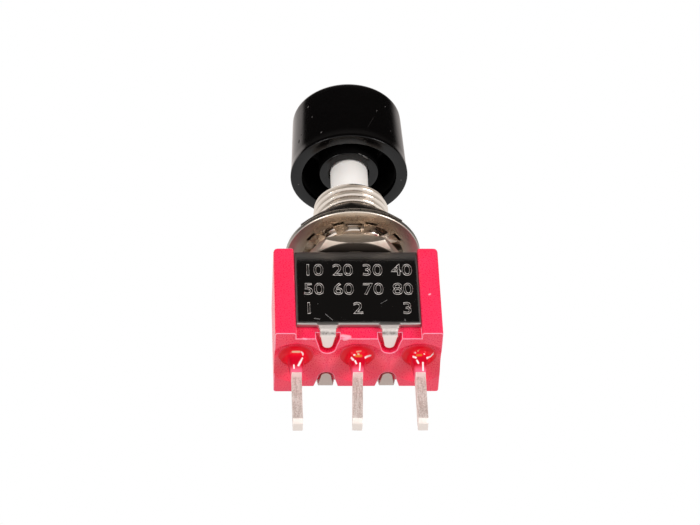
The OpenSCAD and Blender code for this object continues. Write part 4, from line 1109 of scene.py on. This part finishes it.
def resin_edge(turn):
    """(radius, depth) where the tilted surface of the resin meets its well, in one direction."""
    radius = max((MOUTH_R - STEEP * LEVEL) / (1 + STEEP * SLOPE * math.sin(turn)), POCKET_R)
    return radius, LEVEL + SLOPE * radius * math.sin(turn)


print("resin edge, front and back:", [round(v, 2) for t in (-90, 90) for v in resin_edge(math.radians(t))])


# %% [markdown]
# Seen from above, the surface changes from the round well to the terminal's oblong. Each of its loops
# is a superellipse, which grows squarer towards the terminal.

# %% The resin's surface
def resin_loops(lean):
    """Loops of points from the pocket's bottom over the surface to the top of the skirt. The rise
    fades with the distance from the terminal, as that of a wetting liquid does."""
    loops = [[] for _ in range(SKIRT + 5)]
    for i in range(AROUND):
        turn = 2 * math.pi * i / AROUND
        c, s = math.cos(turn), math.sin(turn)
        edge_r, edge_z = resin_edge(turn)
        loops[0].append((0.0, 0.0, POCKET_Z))
        loops[1].append((POCKET_R * c, POCKET_R * s, POCKET_Z))
        loops[2].append((POCKET_R * c, POCKET_R * s, max(edge_z, MOUTH_H) + 0.01))
        loops[3].append(((edge_r + 0.02) * c, (edge_r + 0.02) * s, edge_z))
        for k in range(SKIRT + 1):
            share = (1 - k / SKIRT) ** FADE
            power = 2 / (2 + (SQUAREST - 2) * (k / SKIRT))
            pin_x = (PIN_X + FILM) * math.copysign(abs(c) ** power, c)
            pin_y = (PIN_Y + FILM) * math.copysign(abs(s) ** power, s)
            x, y = pin_x + share * (edge_r * c - pin_x), pin_y + share * (edge_r * s - pin_y)
            away = share * math.hypot(edge_r * c - pin_x, edge_r * s - pin_y)
            rise = math.exp(-away / REACH)
            z = (LEVEL + SLOPE * y) * (1 - rise) - CLIMB * rise
            loops[4 + k].append((x + lean * min(z, 0.0), y, z))
    return loops


def way_through(x, y, z):
    """How far light goes through the resin from a point of its surface, up and towards the back."""
    step, longest, back, up = 0.03, 1.6, 0.50, 0.87
    way = 0.0
    while way < longest:
        way += step
        y, z = y + back * step, z + up * step
        if z > POCKET_Z or math.hypot(x, y) > wall_r(z) or (abs(x) < PIN_X and abs(y) < PIN_Y):
            break
    return way


# %% [markdown]
# The middle terminal leans a little, and its skirt of resin with it. When a seal's mesh is made, each
# of its points is given the way that light goes through it, for the material to read.

# %% Resin
for node, centre, lean in (("common_seal", -PIN_PITCH, 0.0), ("open_seal", 0.0, math.radians(2.2)),
                           ("closed_seal", PIN_PITCH, 0.0)):
    loops = resin_loops(math.tan(lean))
    points = [(x + centre, y, z) for loop in loops for x, y, z in loop]
    lid = tuple((len(loops) - 1) * AROUND + i for i in range(AROUND))
    mesh = mesh_from(node, points, wrap(len(loops), AROUND) + [lid])
    way = mesh.attributes.new("way", "FLOAT", "POINT")
    for vertex, value in zip(mesh.vertices, way.data):
        x, y, z = vertex.co
        value.value = way_through(x - centre, y, z)
    seal = link_piece(node + "_dressed", mesh, resin_red, sharp=50.0)
    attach(seal, "housing")
    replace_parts(seal, node)

# %% [markdown]
# ## Sizes, and the end
#
# The dressed switch must stay inside the box of its CAD model, so its box is printed.

# %% Finish
low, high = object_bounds()
print("visual box, mm:", [round(v / MM, 2) for v in (*low, *high)])
